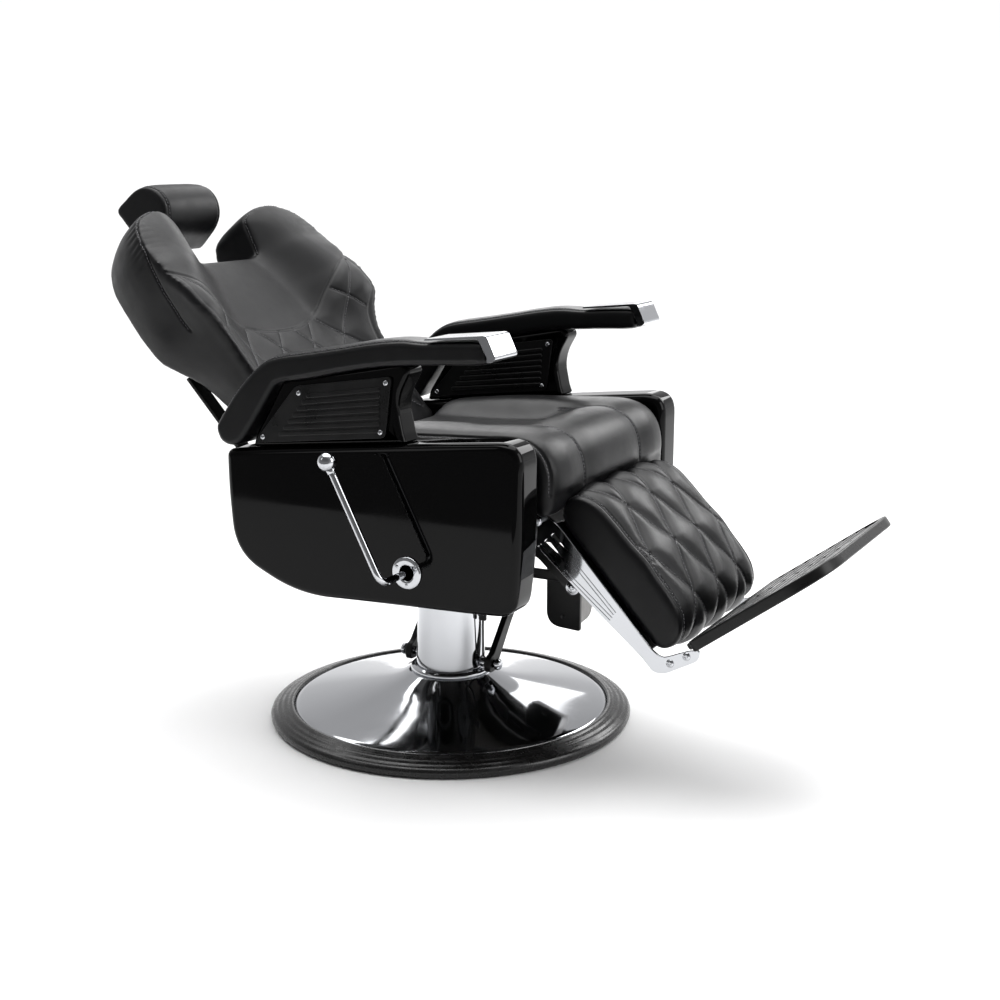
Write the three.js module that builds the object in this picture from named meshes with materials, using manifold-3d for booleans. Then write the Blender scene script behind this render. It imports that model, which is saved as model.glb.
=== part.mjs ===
// Hydraulic barber chair, in millimetres: +Z up, the sitter faces -Y, and the origin is on the
// swivel axis at floor level. "right" and "left" are the sitter's: right is the -X side.
import * as THREE from "three";
import { mergeVertices } from "three/addons/utils/BufferGeometryUtils.js";
import Module from "manifold-3d";

const wasm = await Module();
wasm.setup();

// ---------- driving dimensions ----------
const GAP = 0.3; // kept between pieces that touch
const SIDES = { right: -1, left: 1 };

const BASE_R = 340;
const COVER_R = 296;
const COVER_EDGE_Z = 28;
const COLLAR_R = 76;
const COLLAR_Z = 88;
const COLUMN_FOOT_R = 65;
const COLUMN_TOP_R = 57.5;
const COLUMN_TOP_Z = 335;
const CYLINDER_R = 48;
const RAM_R = 30;
const RAM_TOP_Z = 372;
const PUMP_SHAFT_Z = 109;
const PUMP_ARM_Y = 86;
const PEDAL = { x: 150, frontY: -199, backY: -127, bottomZ: 150, topZ: 286 };

const HUB_R = 46;
const FLANGE_Z = 400;
const FRAME_Z = FLANGE_Z + 8 + GAP;
const FRAME_H = 24;
const SIDE_PLATE_X = 240;
const PANEL_IN = 255;
const PANEL_OUT = 325;
const SEAT_SLOPE = 0.107; // rise of the seat box towards the front
const PANEL_TOP_Z = 567.5; // top line of a side panel at y = 0

const ARM_X = 292;
const ARM_W = 75;
const SUPPORT_W = 52;
const INSERT_T = 5;
const SCREW_R = 6;

const LEVER = { y: -107, z: 365, rodR: 6, reach: 405, ballY: -8, ballZ: 556, ballR: 16 };
const ESCUTCHEON_R = 27.5;
const ESCUTCHEON_HOLE_R = 13.5;

const BACK_PIVOT = { y: 175, z: 470 };
const BACK_RECLINE = 42.5; // degrees from upright, at rest
const BACK_SHAFT_R = 10;
const BRACKET_X = 168;
const LINK_PIN = { y: -40, z: -150 }; // from the back pivot, at rest
const STRUT = { x: 90, y: -22, z: -82, r: 14 }; // eye from the back pivot, at rest

const LEG_PIVOT = { y: -280, z: 445 };
const LEG_W = 182;
const LEG_BRACKET_X = 190;
const LINK_BOLT = { y: -333, z: 330 };
const LINK_X = 160;
const FOOT_W = 210;

const HEAD = { halfWidth: 84, bottom: 583, top: 691, front: 33, rear: 76, pivotY: 90, pivotZ: 637 };

// ---------- materials ----------
const look = (color, roughness, metalness) => new THREE.MeshStandardMaterial({ color, roughness, metalness });
const chrome = () => look(0xd8dadd, 0.08, 1);
const steel = () => look(0x9a9ca0, 0.35, 1);
const blackSteel = () => look(0x141414, 0.4, 0.3);
const castIron = () => look(0x2a2a2c, 0.6, 0.5);
const glossBlack = () => look(0x050505, 0.05, 0);
const blackPlastic = () => look(0x101010, 0.45, 0);
const rubber = () => look(0x1b1a1a, 0.7, 0);
const leatherette = () => look(0x17171a, 0.42, 0);
const plywood = () => look(0xa9824f, 0.7, 0);

// ---------- geometry helpers ----------
const chair = new THREE.Group();

function add(name, geometry, material, parent = chair) {
  const mesh = new THREE.Mesh(geometry, material);
  mesh.name = name;
  parent.add(mesh);
  return mesh;
}

// A closed outline whose corners [a, b, cut] are rounded by a curve that starts "cut" before each.
function outline(corners, cut) {
  const points = corners.map(([a, b]) => new THREE.Vector2(a, b));
  const shape = new THREE.Shape();
  points.forEach((corner, i) => {
    const before = points.at(i - 1);
    const after = points[(i + 1) % points.length];
    const room = 0.49 * Math.min(corner.distanceTo(before), corner.distanceTo(after));
    const reach = Math.min(corners[i][2] ?? cut, room);
    const start = corner.clone().add(before.clone().sub(corner).setLength(reach));
    const end = corner.clone().add(after.clone().sub(corner).setLength(reach));
    if (i === 0) shape.moveTo(start.x, start.y);
    else shape.lineTo(start.x, start.y);
    shape.quadraticCurveTo(corner.x, corner.y, end.x, end.y);
  });
  shape.closePath();
  return shape;
}

const circle = (a, b, r) => new THREE.Path().absarc(a, b, r, 0, 2 * Math.PI, true);

function disc(a, b, r) {
  const shape = new THREE.Shape();
  shape.absarc(a, b, r, 0, 2 * Math.PI, false);
  return shape;
}

// The outline of a flat link with round ends of radius r0 and r1 about two points.
function strap([a0, b0], [a1, b1], r0, r1) {
  const heading = Math.atan2(b1 - b0, a1 - a0);
  const shape = new THREE.Shape();
  shape.absarc(a0, b0, r0, heading + Math.PI / 2, heading + 1.5 * Math.PI, false);
  shape.absarc(a1, b1, r1, heading - Math.PI / 2, heading + Math.PI / 2, false);
  shape.closePath();
  return shape;
}

// An outline made solid between two depths, with its edges eased by "edge".
function slab(shape, from, to, edge, curveSegments = 4) {
  const geometry = new THREE.ExtrudeGeometry(shape, {
    depth: to - from - 2 * edge,
    bevelEnabled: edge > 0,
    bevelSize: edge,
    bevelThickness: edge,
    bevelOffset: -edge,
    bevelSegments: edge > 5 ? 2 : 1,
    curveSegments,
  });
  return geometry.translate(0, 0, from + edge);
}

const basis = (x, y, z) =>
  new THREE.Matrix4().makeBasis(new THREE.Vector3(...x), new THREE.Vector3(...y), new THREE.Vector3(...z));
const YZ_TO_WORLD = basis([0, 1, 0], [0, 0, 1], [1, 0, 0]);
const XZ_TO_WORLD = basis([1, 0, 0], [0, 0, 1], [0, -1, 0]);

// Outline in (y, z), solid from x0 to x1.
const alongX = (shape, x0, x1, edge = 0, segments) =>
  slab(shape, Math.min(x0, x1), Math.max(x0, x1), edge, segments).applyMatrix4(YZ_TO_WORLD);
// Outline in (x, z), solid from y0 to y1.
const alongY = (shape, y0, y1, edge = 0, segments) =>
  slab(shape, -y1, -y0, edge, segments).applyMatrix4(XZ_TO_WORLD);

function box(x0, x1, y0, y1, z0, z1) {
  const geometry = new THREE.BoxGeometry(x1 - x0, y1 - y0, z1 - z0);
  return geometry.translate((x0 + x1) / 2, (y0 + y1) / 2, (z0 + z1) / 2);
}

// A closed [radius, height] profile turned about Z. It goes round anticlockwise, seen with the
// radius to the right and the height up.
function turned(profile, segments = 32) {
  const points = profile.map(([r, z]) => new THREE.Vector2(r, z));
  if (profile[0][0] > 0) points.push(points[0].clone());
  return new THREE.LatheGeometry(points, segments).rotateX(Math.PI / 2);
}
const turnedAboutX = (profile, segments) => turned(profile, segments).rotateY(Math.PI / 2);
const turnedAboutY = (profile, segments) => turned(profile, segments).rotateX(-Math.PI / 2);

const rod = (r, from, to) => [[0, from], [r, from], [r, to], [0, to]];
const tube = (inner, outer, from, to) => [[inner, from], [outer, from], [outer, to], [inner, to]];

function bar(path, section, steps, curveSegments = 4) {
  return new THREE.ExtrudeGeometry(section, { extrudePath: path, steps, curveSegments });
}

function toSolid(geometry) {
  const bare = new THREE.BufferGeometry();
  bare.setAttribute("position", geometry.attributes.position.clone());
  if (geometry.index) bare.setIndex(geometry.index.clone());
  const merged = mergeVertices(bare, 1e-3);
  const triVerts = [];
  const index = merged.index.array;
  for (let i = 0; i < index.length; i += 3) {
    const [a, b, c] = index.slice(i, i + 3);
    if (a !== b && b !== c && c !== a) triVerts.push(a, b, c);
  }
  return new wasm.Manifold(
    new wasm.Mesh({
      numProp: 3,
      vertProperties: merged.attributes.position.array,
      triVerts: new Uint32Array(triVerts),
    }),
  );
}

function toGeometry(solid) {
  const mesh = solid.getMesh();
  const geometry = new THREE.BufferGeometry();
  geometry.setAttribute("position", new THREE.BufferAttribute(mesh.vertProperties.slice(), 3));
  geometry.setIndex(new THREE.BufferAttribute(mesh.triVerts.slice(), 1));
  geometry.computeVertexNormals();
  return geometry;
}

const join = (...parts) => toGeometry(parts.map(toSolid).reduce((all, part) => all.add(part)));
const cut = (whole, ...tools) =>
  toGeometry(tools.map(toSolid).reduce((all, tool) => all.subtract(tool), toSolid(whole)));

const panelTop = (y) => PANEL_TOP_Z - SEAT_SLOPE * y;
const mirrored = (side, x0, x1) => (side < 0 ? [-x1, -x0] : [x0, x1]);

// ---------- base and pump ----------
function addBase() {
  add("base_floor_plate", turned(rod(COVER_R - 6, 0, 5), 48), castIron());

  const top = COLLAR_Z - GAP;
  const cover = [
    [COVER_R - 3, 5.3],
    [COVER_R, 5.3],
    [COVER_R, COVER_EDGE_Z - 3],
    [COVER_R - 10, COVER_EDGE_Z + 4],
    [180, 55],
    [COLLAR_R + 4, top - 3],
    [COLLAR_R - 8, top],
    [COLLAR_R - 8, top - 3],
    [180, 51],
    [COVER_R - 10, COVER_EDGE_Z],
    [COVER_R - 3, COVER_EDGE_Z - 4],
  ];
  add("base_chrome_cover", turned(cover, 48), chrome());

  const inner = COVER_R + GAP;
  const ring = [
    [inner, 0],
    [BASE_R - 6, 0],
    [BASE_R, 12],
    [BASE_R - 9, 21],
    [BASE_R - 12, 24],
    [BASE_R - 21, 26],
    [BASE_R - 30, 30],
    [BASE_R - 38, 32],
    [inner, 30],
  ];
  add("base_rubber_ring", turned(ring, 48), rubber());

  const collar = [
    [COLUMN_FOOT_R + 1.5, COLLAR_Z],
    [COLLAR_R, COLLAR_Z],
    [COLLAR_R, COLLAR_Z + 6],
    [COLLAR_R - 3, COLLAR_Z + 9],
    [COLUMN_FOOT_R + 1.5, COLLAR_Z + 10],
  ];
  add("column_collar", turned(collar, 48), chrome());
}

function addPump() {
  const cylinder = [
    [0, 5.3],
    [CYLINDER_R + 22, 5.3],
    [CYLINDER_R + 22, 14],
    [CYLINDER_R, 18],
    [CYLINDER_R, 325],
    [RAM_R + 1, 325],
    [RAM_R + 1, 22],
    [0, 22],
  ];
  add("pump_cylinder", turned(cylinder), castIron());

  const shroud = [
    [COLUMN_FOOT_R - 3, 20],
    [COLUMN_FOOT_R, 20],
    [COLUMN_FOOT_R, COLLAR_Z + 14],
    [COLUMN_TOP_R, 300],
    [COLUMN_TOP_R, COLUMN_TOP_Z],
    [COLUMN_TOP_R - 3, COLUMN_TOP_Z],
    [COLUMN_TOP_R - 3, 300],
    [COLUMN_FOOT_R - 3, COLLAR_Z + 14],
  ];
  add("column_shroud", turned(shroud, 40), chrome());

  for (const [end, facing] of [["front", -1], ["rear", 1]]) {
    const stub = [[0, 66], [9, 66], [9, 76], [7, 76], [7, 98], [11, 98], [11, 104], [8, 107], [0, 107]];
    const pin = turnedAboutY(stub, 24);
    if (facing < 0) pin.rotateZ(Math.PI);
    add(`pump_pivot_pin_${end}`, pin.translate(0, 0, PUMP_SHAFT_Z), chrome());
  }

  const hanger = box(-9, -4, -80, -64.5, 196, 206);
  add("valve_rod", join(hanger, turned(rod(2, 122, 200), 10).translate(-6.5, -73, 0)), blackSteel());

  add("hydraulic_ram", turned(rod(RAM_R, 60, RAM_TOP_Z)), steel());
}

// A fork on both pump pins, joined by a crossbar, with the foot pad at the front end of the bar.
function addPedal() {
  const z = PUMP_SHAFT_Z;
  const corners = [
    [-17, z - 4], [-13, z - 15], [8, z - 16], [18, z - 4], [78, z + 72], [PEDAL.x - 1, z + 130],
    [PEDAL.x - 1, z + 153], [PEDAL.x - 26, z + 153], [62, z + 86], [2, z + 18], [-12, z + 14],
  ];
  const arm = outline(corners, 8);
  arm.holes.push(circle(0, z, 8));
  const arms = [-1, 1].map((end) => alongY(arm, end * PUMP_ARM_Y - 6, end * PUMP_ARM_Y + 6));
  const crossbar = box(PEDAL.x - 19, PEDAL.x - 1, -PUMP_ARM_Y, PUMP_ARM_Y, z + 132, z + 152);
  const reach = box(PEDAL.x - 9, PEDAL.x - 1, PEDAL.frontY + 30, -PUMP_ARM_Y, z + 132, z + 152);
  const { x, frontY, backY, bottomZ, topZ } = PEDAL;
  const plate = outline([[backY, topZ], [backY, bottomZ, 30], [frontY, bottomZ - 4, 5], [frontY, topZ]], 8);
  add("pump_pedal_fork", join(...arms, crossbar, reach, alongX(plate, x - 2, x + 6, 1)), blackSteel());
  const pad = outline([[x + 6 + GAP, topZ], [x + 6 + GAP, bottomZ + 8], [x + 60, bottomZ + 12, 28], [x + 68, topZ]], 8);
  add("pump_pedal_pad", alongY(pad, frontY + 2, backY - 2, 3), rubber());
}

// ---------- seat frame ----------
function addFrame() {
  const hub = [
    [RAM_R + 0.6, COLUMN_TOP_Z + 3],
    [HUB_R, COLUMN_TOP_Z + 3],
    [HUB_R, FLANGE_Z],
    [HUB_R + 12, FLANGE_Z],
    [HUB_R + 12, FLANGE_Z + 8],
    [0, FLANGE_Z + 8],
    [0, RAM_TOP_Z + 0.5],
    [RAM_R + 0.6, RAM_TOP_Z + 0.5],
  ];
  add("swivel_hub", turned(hub), castIron());

  const [z0, z1] = [FRAME_Z, FRAME_Z + FRAME_H];
  const [frontY, rearY] = [-218, 95];
  const width = SIDE_PLATE_X - GAP;
  add("frame_crossbar_front", box(-width, width, frontY - 30, frontY, z0, z1), blackSteel());
  add("frame_crossbar_rear", box(-width, width, rearY, rearY + 25, z0, z1), blackSteel());
  for (const [name, side] of Object.entries(SIDES)) {
    const [x0, x1] = mirrored(side, 18, 48);
    add(`frame_rail_${name}`, box(x0, x1, frontY + GAP, rearY - GAP, z0, z1), blackSteel());

    const corners = [
      [-300, 392], [-306, 455], [-270, 478], [60, 470], [150, 505], [205, 500], [214, 450],
      [130, 392], [100, 352], [-230, 352],
    ];
    const [p0, p1] = mirrored(side, SIDE_PLATE_X, PANEL_IN - GAP);
    const plate = alongX(outline(corners, 16), p0, p1, 1);
    // The lever rod passes through the right plate.
    const hole = turnedAboutX(rod(10, -270, -230), 24).translate(0, LEVER.y, LEVER.z);
    add(`frame_side_plate_${name}`, side < 0 ? cut(plate, hole) : plate, blackSteel());

    const pin = turnedAboutX(rod(6, 184, SIDE_PLATE_X - GAP), 20);
    if (side < 0) pin.rotateY(Math.PI);
    add(`legrest_pivot_pin_${name}`, pin.translate(0, LEG_PIVOT.y, LEG_PIVOT.z), steel());
  }
  const shaft = turnedAboutX(rod(BACK_SHAFT_R, -width, width), 32);
  add("backrest_pivot_shaft", shaft.translate(0, BACK_PIVOT.y, BACK_PIVOT.z), steel());

  const barrel = [[0, -200], [STRUT.r, -200], [STRUT.r, 30], [6, 30], [6, -170], [0, -170]];
  const axisZ = BACK_PIVOT.z + STRUT.z;
  add("recline_strut_cylinder", turnedAboutY(barrel, 24).translate(STRUT.x, 0, axisZ), blackSteel());
  const eyeY = BACK_PIVOT.y + STRUT.y;
  const piston = turnedAboutY(rod(5, -150, eyeY - 20), 16).translate(STRUT.x, 0, axisZ);
  const block = box(STRUT.x - 11, STRUT.x + 11, eyeY - 29, eyeY - 18, axisZ - 8, axisZ + 8);
  const cheeks = [-11, 5.6].map((x) =>
    box(STRUT.x + x, STRUT.x + x + 5.4, eyeY - 20, eyeY + 9, axisZ - 8, axisZ + 8),
  );
  const pin = turnedAboutX(rod(5, STRUT.x - 11, STRUT.x + 11), 16).translate(0, eyeY, axisZ);
  add("recline_strut_rod", join(piston, block, ...cheeks, pin), steel());
}

function addSidePanel(name, side) {
  const corners = [
    [262, panelTop(262), 26], [262, 470, 30], [252, 352, 70], [120, 293, 70], [-10, 299, 40],
    [-250, 306, 30], [-303, 312, 34], [-316, 420, 40], [-316, panelTop(-316), 44],
  ];
  const [x0, x1] = mirrored(side, PANEL_IN, PANEL_OUT);
  const panel = alongX(outline(corners, 20), x0, x1, 9, 6);
  const hole = turnedAboutX(rod(ESCUTCHEON_HOLE_R, -340, -240), 32).translate(0, LEVER.y, LEVER.z);
  add(`side_panel_${name}`, side < 0 ? cut(panel, hole) : panel, glossBlack());
}

// ---------- armrests ----------
function addArmrest(name, side) {
  const at = (half) => mirrored(side, ARM_X - half, ARM_X + half);
  const foot = (y) => panelTop(y) + GAP;

  const support = [
    [-100, foot(-100)], [-92, 604], [-84, 634], [-92, 664], [-112, 695], [-96, 704], [-41, 694],
    [80, 672], [138, 661], [170, 616], [202, 568], [208, foot(208)],
  ];
  add(`arm_support_${name}`, alongX(outline(support, 9), ...at(SUPPORT_W / 2), 2), glossBlack());

  const pad = [
    [-255, 729, 5], [-248, 717.5, 5], [-99, 706.5, 40], [146, 664], [222, 549, 18], [272, 549, 18],
    [281, 578, 14], [172, 698, 30], [-42, 740, 40], [-145, 748, 30], [-240, 755.5, 5],
  ];
  add(`armrest_pad_${name}`, alongX(outline(pad, 14), ...at(ARM_W / 2 - 0.5), 3), leatherette());

  const cap = [
    [-258.4, 722], [-275, 727], [-256, 765], [-146, 752.5], [-146, 748.6], [-243, 757.2], [-259, 729],
  ];
  add(`armrest_cap_${name}`, alongX(outline(cap, 1.5), ...at(ARM_W / 2), 0, 3), chrome());

  for (const [face, outward] of [["outer", 1], ["inner", -1]]) {
    const inside = ARM_X + outward * (SUPPORT_W / 2 + GAP);
    const outside = inside + outward * INSERT_T;
    const [x0, x1] = mirrored(side, Math.min(inside, outside), Math.max(inside, outside));
    const corners = [[109, 660], [-80, 688], [-66, 586], [200, 555]];
    const plate = alongX(outline(corners, 9), x0, x1, 1);
    const grooves = ribRows().map(([front, rear]) => grooveTool(front, rear, outward * side, x0, x1));
    const heads = outward > 0 ? insertScrews(side) : [];
    add(`arm_insert_${face}_${name}`, join(cut(plate, ...grooves), ...heads), blackPlastic());
  }
}

// The ends [y, z] of the grooves between the seven ribs of an armrest insert.
function ribRows() {
  const rows = [];
  for (let i = 0; i < 7; i++) {
    const t = (i + 1) / 8;
    const front = [-66 - 4 * (1 - t), 586 + 96 * (1 - t) - 2];
    const rear = [96 + 78 * t, 655 - 92 * t];
    rows.push([front, rear]);
  }
  return rows;
}

function grooveTool([y0, z0], [y1, z1], facing, x0, x1) {
  const length = Math.hypot(y1 - y0, z1 - z0);
  const tool = new THREE.BoxGeometry(4, length, 4);
  tool.rotateX(Math.atan2(z1 - z0, y1 - y0));
  return tool.translate(facing > 0 ? x1 : x0, (y0 + y1) / 2, (z0 + z1) / 2);
}

// The heads of the four screws that hold an outer insert.
function insertScrews(side) {
  const face = ARM_X + SUPPORT_W / 2 + GAP + INSERT_T;
  return [[103, 648], [-69, 677], [-57, 595], [180, 567]].map(([y, z]) => {
    const profile = [[0, face - 2], [SCREW_R, face - 2], [SCREW_R, face + 1], [SCREW_R - 2, face + 3], [0, face + 3]];
    const screw = turnedAboutX(profile, 16);
    if (side < 0) screw.rotateY(Math.PI);
    return screw.translate(0, y, z);
  });
}

// ---------- seat ----------
function addSeat() {
  const rise = (y, z) => z - SEAT_SLOPE * (y - 85);
  const board = [[92, 436], [92, 446.2], [-300, rise(-300, 447)], [-300, rise(-300, 436.7)]];
  add("seat_pan_board", alongX(outline(board, 2), -236, 236, 1), plywood());
  const cushion = [
    [105, rise(105, 447) + GAP, 16], [-308, rise(-308, 447) + GAP, 16], [-334, 530, 34], [-296, 590, 34],
    [-60, 562, 60], [105, 546, 30],
  ];
  add("seat_cushion", alongX(outline(cushion, 20), -238, 238, 6), leatherette());
}

// ---------- recline lever ----------
function addLever() {
  const flange = disc(LEVER.y, LEVER.z, ESCUTCHEON_R);
  flange.holes.push(circle(LEVER.y, LEVER.z, ESCUTCHEON_HOLE_R));
  const screws = [0.5, 2.6, 4.7].map((angle) => {
    const x = -PANEL_OUT - GAP - 3;
    const screw = turnedAboutX([[0, x - 2], [3, x - 1.5], [3.5, x + 1], [0, x + 1]], 12);
    return screw.translate(0, LEVER.y + 20.5 * Math.cos(angle), LEVER.z + 20.5 * Math.sin(angle));
  });
  const ring = alongX(flange, -PANEL_OUT - GAP - 4, -PANEL_OUT - GAP, 1, 12);
  add("lever_escutcheon", join(ring, ...screws), chrome());

  const { y, z, rodR, reach, ballY, ballZ } = LEVER;
  const bend = new THREE.Vector3(-reach, y, z);
  const rise = new THREE.Vector3(0, ballY - y, ballZ - z).normalize();
  const path = new THREE.CurvePath();
  const bendIn = bend.clone().add(new THREE.Vector3(22, 0, 0));
  const bendOut = bend.clone().addScaledVector(rise, 22);
  const tip = new THREE.Vector3(-reach, ballY, ballZ).addScaledVector(rise, -LEVER.ballR + 2);
  path.add(new THREE.LineCurve3(new THREE.Vector3(-215, y, z), bendIn));
  path.add(new THREE.QuadraticBezierCurve3(bendIn, bend, bendOut));
  path.add(new THREE.LineCurve3(bendOut, tip));
  const crank = outline([[y - 14, z - 14], [y + 14, z - 14], [y + 12, z + 40], [y - 12, z + 40]], 8);
  const handle = join(bar(path, disc(0, 0, rodR), 24, 6), alongX(crank, -226, -218));
  add("recline_lever_rod", handle, chrome());
  const ball = new THREE.SphereGeometry(LEVER.ballR, 18, 12).translate(-reach, ballY, ballZ);
  add("recline_lever_ball", cut(ball, bar(new THREE.LineCurve3(bend, tip), disc(0, 0, rodR + GAP), 1, 6)), chrome());
}

// ---------- backrest, modelled upright about its pivot and leant back as a group ----------
function addBackrest() {
  const lean = THREE.MathUtils.degToRad(-BACK_RECLINE);
  const back = new THREE.Group();
  back.position.set(0, BACK_PIVOT.y, BACK_PIVOT.z);
  back.rotation.x = lean;
  chair.add(back);

  const half = [
    [90, 498, 14], [94, 566, 26], [150, 582, 40], [228, 572, 50], [272, 520, 40], [281, 430, 40],
    [281, 330, 30], [236, 268, 30], [222, 200, 30], [216, 20, 30],
  ];
  const mirroredHalf = half.map(([x, z, r]) => [-x, z, r]).reverse();
  const face = [...half, ...mirroredHalf];
  // The same face made smaller all round, with the headrest notch made wider.
  const shrink = (by) =>
    face.map(([x, z, r]) => {
      const inward = Math.abs(x) < 100 ? 1 : -1;
      return [x + inward * Math.sign(x) * by, z > 300 ? z - by : z + by, r];
    });
  add("backrest_cushion", alongY(outline(face, 20), -72, 34, 8, 4), leatherette(), back);
  add("backrest_board", alongY(outline(shrink(12), 16), 34 + GAP, 46, 0, 3), plywood(), back);
  add("backrest_rear_pad", alongY(outline(shrink(6), 16), 46 + GAP, 82, 6, 3), leatherette(), back);

  // World coordinates about the pivot are turned into the leaning group's own.
  const inBack = (y, z) => [
    y * Math.cos(lean) + z * Math.sin(lean),
    -y * Math.sin(lean) + z * Math.cos(lean),
  ];
  const pin = inBack(LINK_PIN.y, LINK_PIN.z);
  for (const [name, side] of Object.entries(SIDES)) {
    const arm = [
      [-20, 12, 14], [-22, -24, 16], [pin[0] - 14, pin[1] - 8, 10], [pin[0] + 8, pin[1] - 14, 10],
      [30, -34, 20], [104, -26, 24], [104, 300, 8], [82 + GAP, 300, 8], [82 + GAP, 8, 10], [24, 20, 14],
    ];
    const plate = outline(arm, 10);
    plate.holes.push(circle(0, 0, BACK_SHAFT_R + 1));
    const [x0, x1] = mirrored(side, BRACKET_X, BRACKET_X + 8);
    const [p0, p1] = mirrored(side, BRACKET_X - 12, BRACKET_X + 2);
    const stud = turnedAboutX(rod(6, p0, p1), 20).translate(0, pin[0], pin[1]);
    const flange = side < 0 ? box(x0 - 24, x1, 82.3, 88, 60, 300) : box(x0, x1 + 24, 82.3, 88, 60, 300);
    add(`backrest_bracket_${name}`, join(alongX(plate, x0, x1), stud, flange), blackSteel(), back);
  }

  const sleeve = turnedAboutX(tube(BACK_SHAFT_R + 0.6, 16, -BRACKET_X + GAP, BRACKET_X - GAP), 32);
  const eye = inBack(STRUT.y, STRUT.z);
  const ear = strap([0, 0], eye, 13, 14);
  ear.holes.push(circle(eye[0], eye[1], 9)); // room for the pin's rise and fall as the strut slides
  const earPlate = cut(alongX(ear, STRUT.x - 5, STRUT.x + 5), turnedAboutX(rod(13, 0, 180), 32));
  add("backrest_torque_tube", join(sleeve, earPlate), blackSteel(), back);
  addHeadrest(back);
}

function addHeadrest(back) {
  const { halfWidth, bottom, top, front, rear, pivotY, pivotZ } = HEAD;
  const socket = outline([[-15, 400], [15, 400], [15, 500], [-15, 500]], 3);
  const slot = box(-9, 9, pivotY - 3.5, pivotY + 3.5, 380, 520);
  add("headrest_socket", cut(alongY(socket, 82.3, 98, 1), slot), blackSteel(), back);

  const post = box(-8.5, 8.5, pivotY - 3, pivotY + 3, 405, pivotZ);
  const eye = turnedAboutX(rod(9, -8.5, 8.5), 24).translate(0, pivotY, pivotZ);
  const bore = turnedAboutX(rod(4.4, -20, 20), 20).translate(0, pivotY, pivotZ);
  add("headrest_post", cut(join(post, eye), bore), chrome(), back);

  const plate = outline([[-60, bottom + 16], [60, bottom + 16], [60, top - 16], [-60, top - 16]], 8);
  const ear = strap([rear + 2, pivotZ], [pivotY, pivotZ], 9, 9);
  const ears = [-14, 9.5].map((x) => alongX(ear, x, x + 4.5));
  const pin = turnedAboutX(rod(4, -17, 17), 20).translate(0, pivotY, pivotZ);
  const bracket = join(alongY(plate, rear + GAP, rear + 4), ...ears, pin);
  const keepOut = box(-70, 70, rear - 20, rear + GAP, bottom, top);
  add("headrest_bracket", cut(bracket, keepOut), steel(), back);

  const pad = [
    [rear, bottom, 14], [10, bottom, 44], [-front, pivotZ - 10, 44], [-front, pivotZ + 10, 44],
    [10, top, 44], [rear, top, 14],
  ];
  add("headrest_cushion", alongX(outline(pad, 20), -halfWidth, halfWidth, 3, 5), leatherette(), back);
}

// ---------- legrest ----------
function addLegrest() {
  const cushion = [
    [-317, 447], [-336, 482, 20], [-372, 478, 24], [-490, 372, 40], [-534, 318, 26], [-531, 254, 26],
    [-487, 250],
  ];
  add("legrest_cushion", alongX(outline(cushion, 14), -LEG_W, LEG_W, 6), leatherette());
  for (const [name, side] of Object.entries(SIDES)) {
    const corners = [
      [-262, 458, 12], [-262, 418], [-283, 398], [-370, 322], [-470, 240], [-494, 213, 14],
      [-514, 216], [-572, 247, 10], [-574, 268], [-552, 262], [-508, 243, 10], [-492, 252],
      [-398, 355], [-325, 436], [-298, 458],
    ];
    const [x0, x1] = mirrored(side, LEG_BRACKET_X, LEG_BRACKET_X + 6);
    const openings = [disc(LEG_PIVOT.y, LEG_PIVOT.z, 6.5), ...fingerSlots()];
    const tools = openings.map((shape) => alongX(shape, x0 - 5, x1 + 5));
    add(`legrest_bracket_${name}`, cut(alongX(outline(corners, 6), x0, x1), ...tools), chrome());

    const bolt = turnedAboutX([[0, LINK_X - 14], [4.6, LINK_X - 14], [4.6, LINK_X + 7], [9, LINK_X + 7],
      [9, LINK_X + 11], [6, LINK_X + 13], [0, LINK_X + 13]], 20);
    if (side < 0) bolt.rotateY(Math.PI);
    add(`link_bolt_${name}`, bolt.translate(0, LINK_BOLT.y, LINK_BOLT.z), chrome());

    const pinY = BACK_PIVOT.y + LINK_PIN.y;
    const pinZ = BACK_PIVOT.z + LINK_PIN.z;
    const swan = [
      [-345, 328, 8], [-338, 318, 8], [-322, 322, 8], [-262, 376], [-240, 374], [-200, 334], [-150, 312],
      [pinY, pinZ - 15, 10], [pinY + 16, pinZ, 10], [pinY, pinZ + 15, 10], [-145, 334], [-190, 352],
      [-228, 394], [-268, 398], [-336, 342, 8],
    ];
    const link = outline(swan, 12);
    link.holes.push(circle(LINK_BOLT.y, LINK_BOLT.z, 5), circle(pinY, pinZ, 9));
    const [k0, k1] = mirrored(side, LINK_X - 3, LINK_X + 3);
    add(`recline_link_${name}`, alongX(link, k0, k1), blackSteel());
  }
  add("legrest_board", legrestBoard(), blackSteel());
  addFootplate();
}

// The steel board behind the cushion, with a lug welded on its back for each link bolt.
function legrestBoard() {
  const corners = [[-312, 441], [-480, 246], [-471, 238], [-303, 433]];
  const board = alongX(outline(corners, 2), -LEG_BRACKET_X + GAP, LEG_BRACKET_X - GAP);
  const lug = outline([[-352, 384], [-342, 322, 9], [-324, 322, 9], [-316, 412]], 8);
  lug.holes.push(circle(LINK_BOLT.y, LINK_BOLT.z, 5));
  const lugs = Object.values(SIDES).map((side) => alongX(lug, ...mirrored(side, LINK_X - 10, LINK_X - 4)));
  return join(board, ...lugs);
}

// Three slots in the upper half of a legrest bracket, each running to a point.
function fingerSlots() {
  const ends = [[-352, 386], [-340, 375], [-328, 365]];
  return ends.map(([y, z]) => {
    const slot = new THREE.Shape();
    slot.moveTo(y, z);
    slot.lineTo(y + 42, z + 43);
    slot.lineTo(y + 48, z + 36);
    slot.closePath();
    return slot;
  });
}

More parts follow.
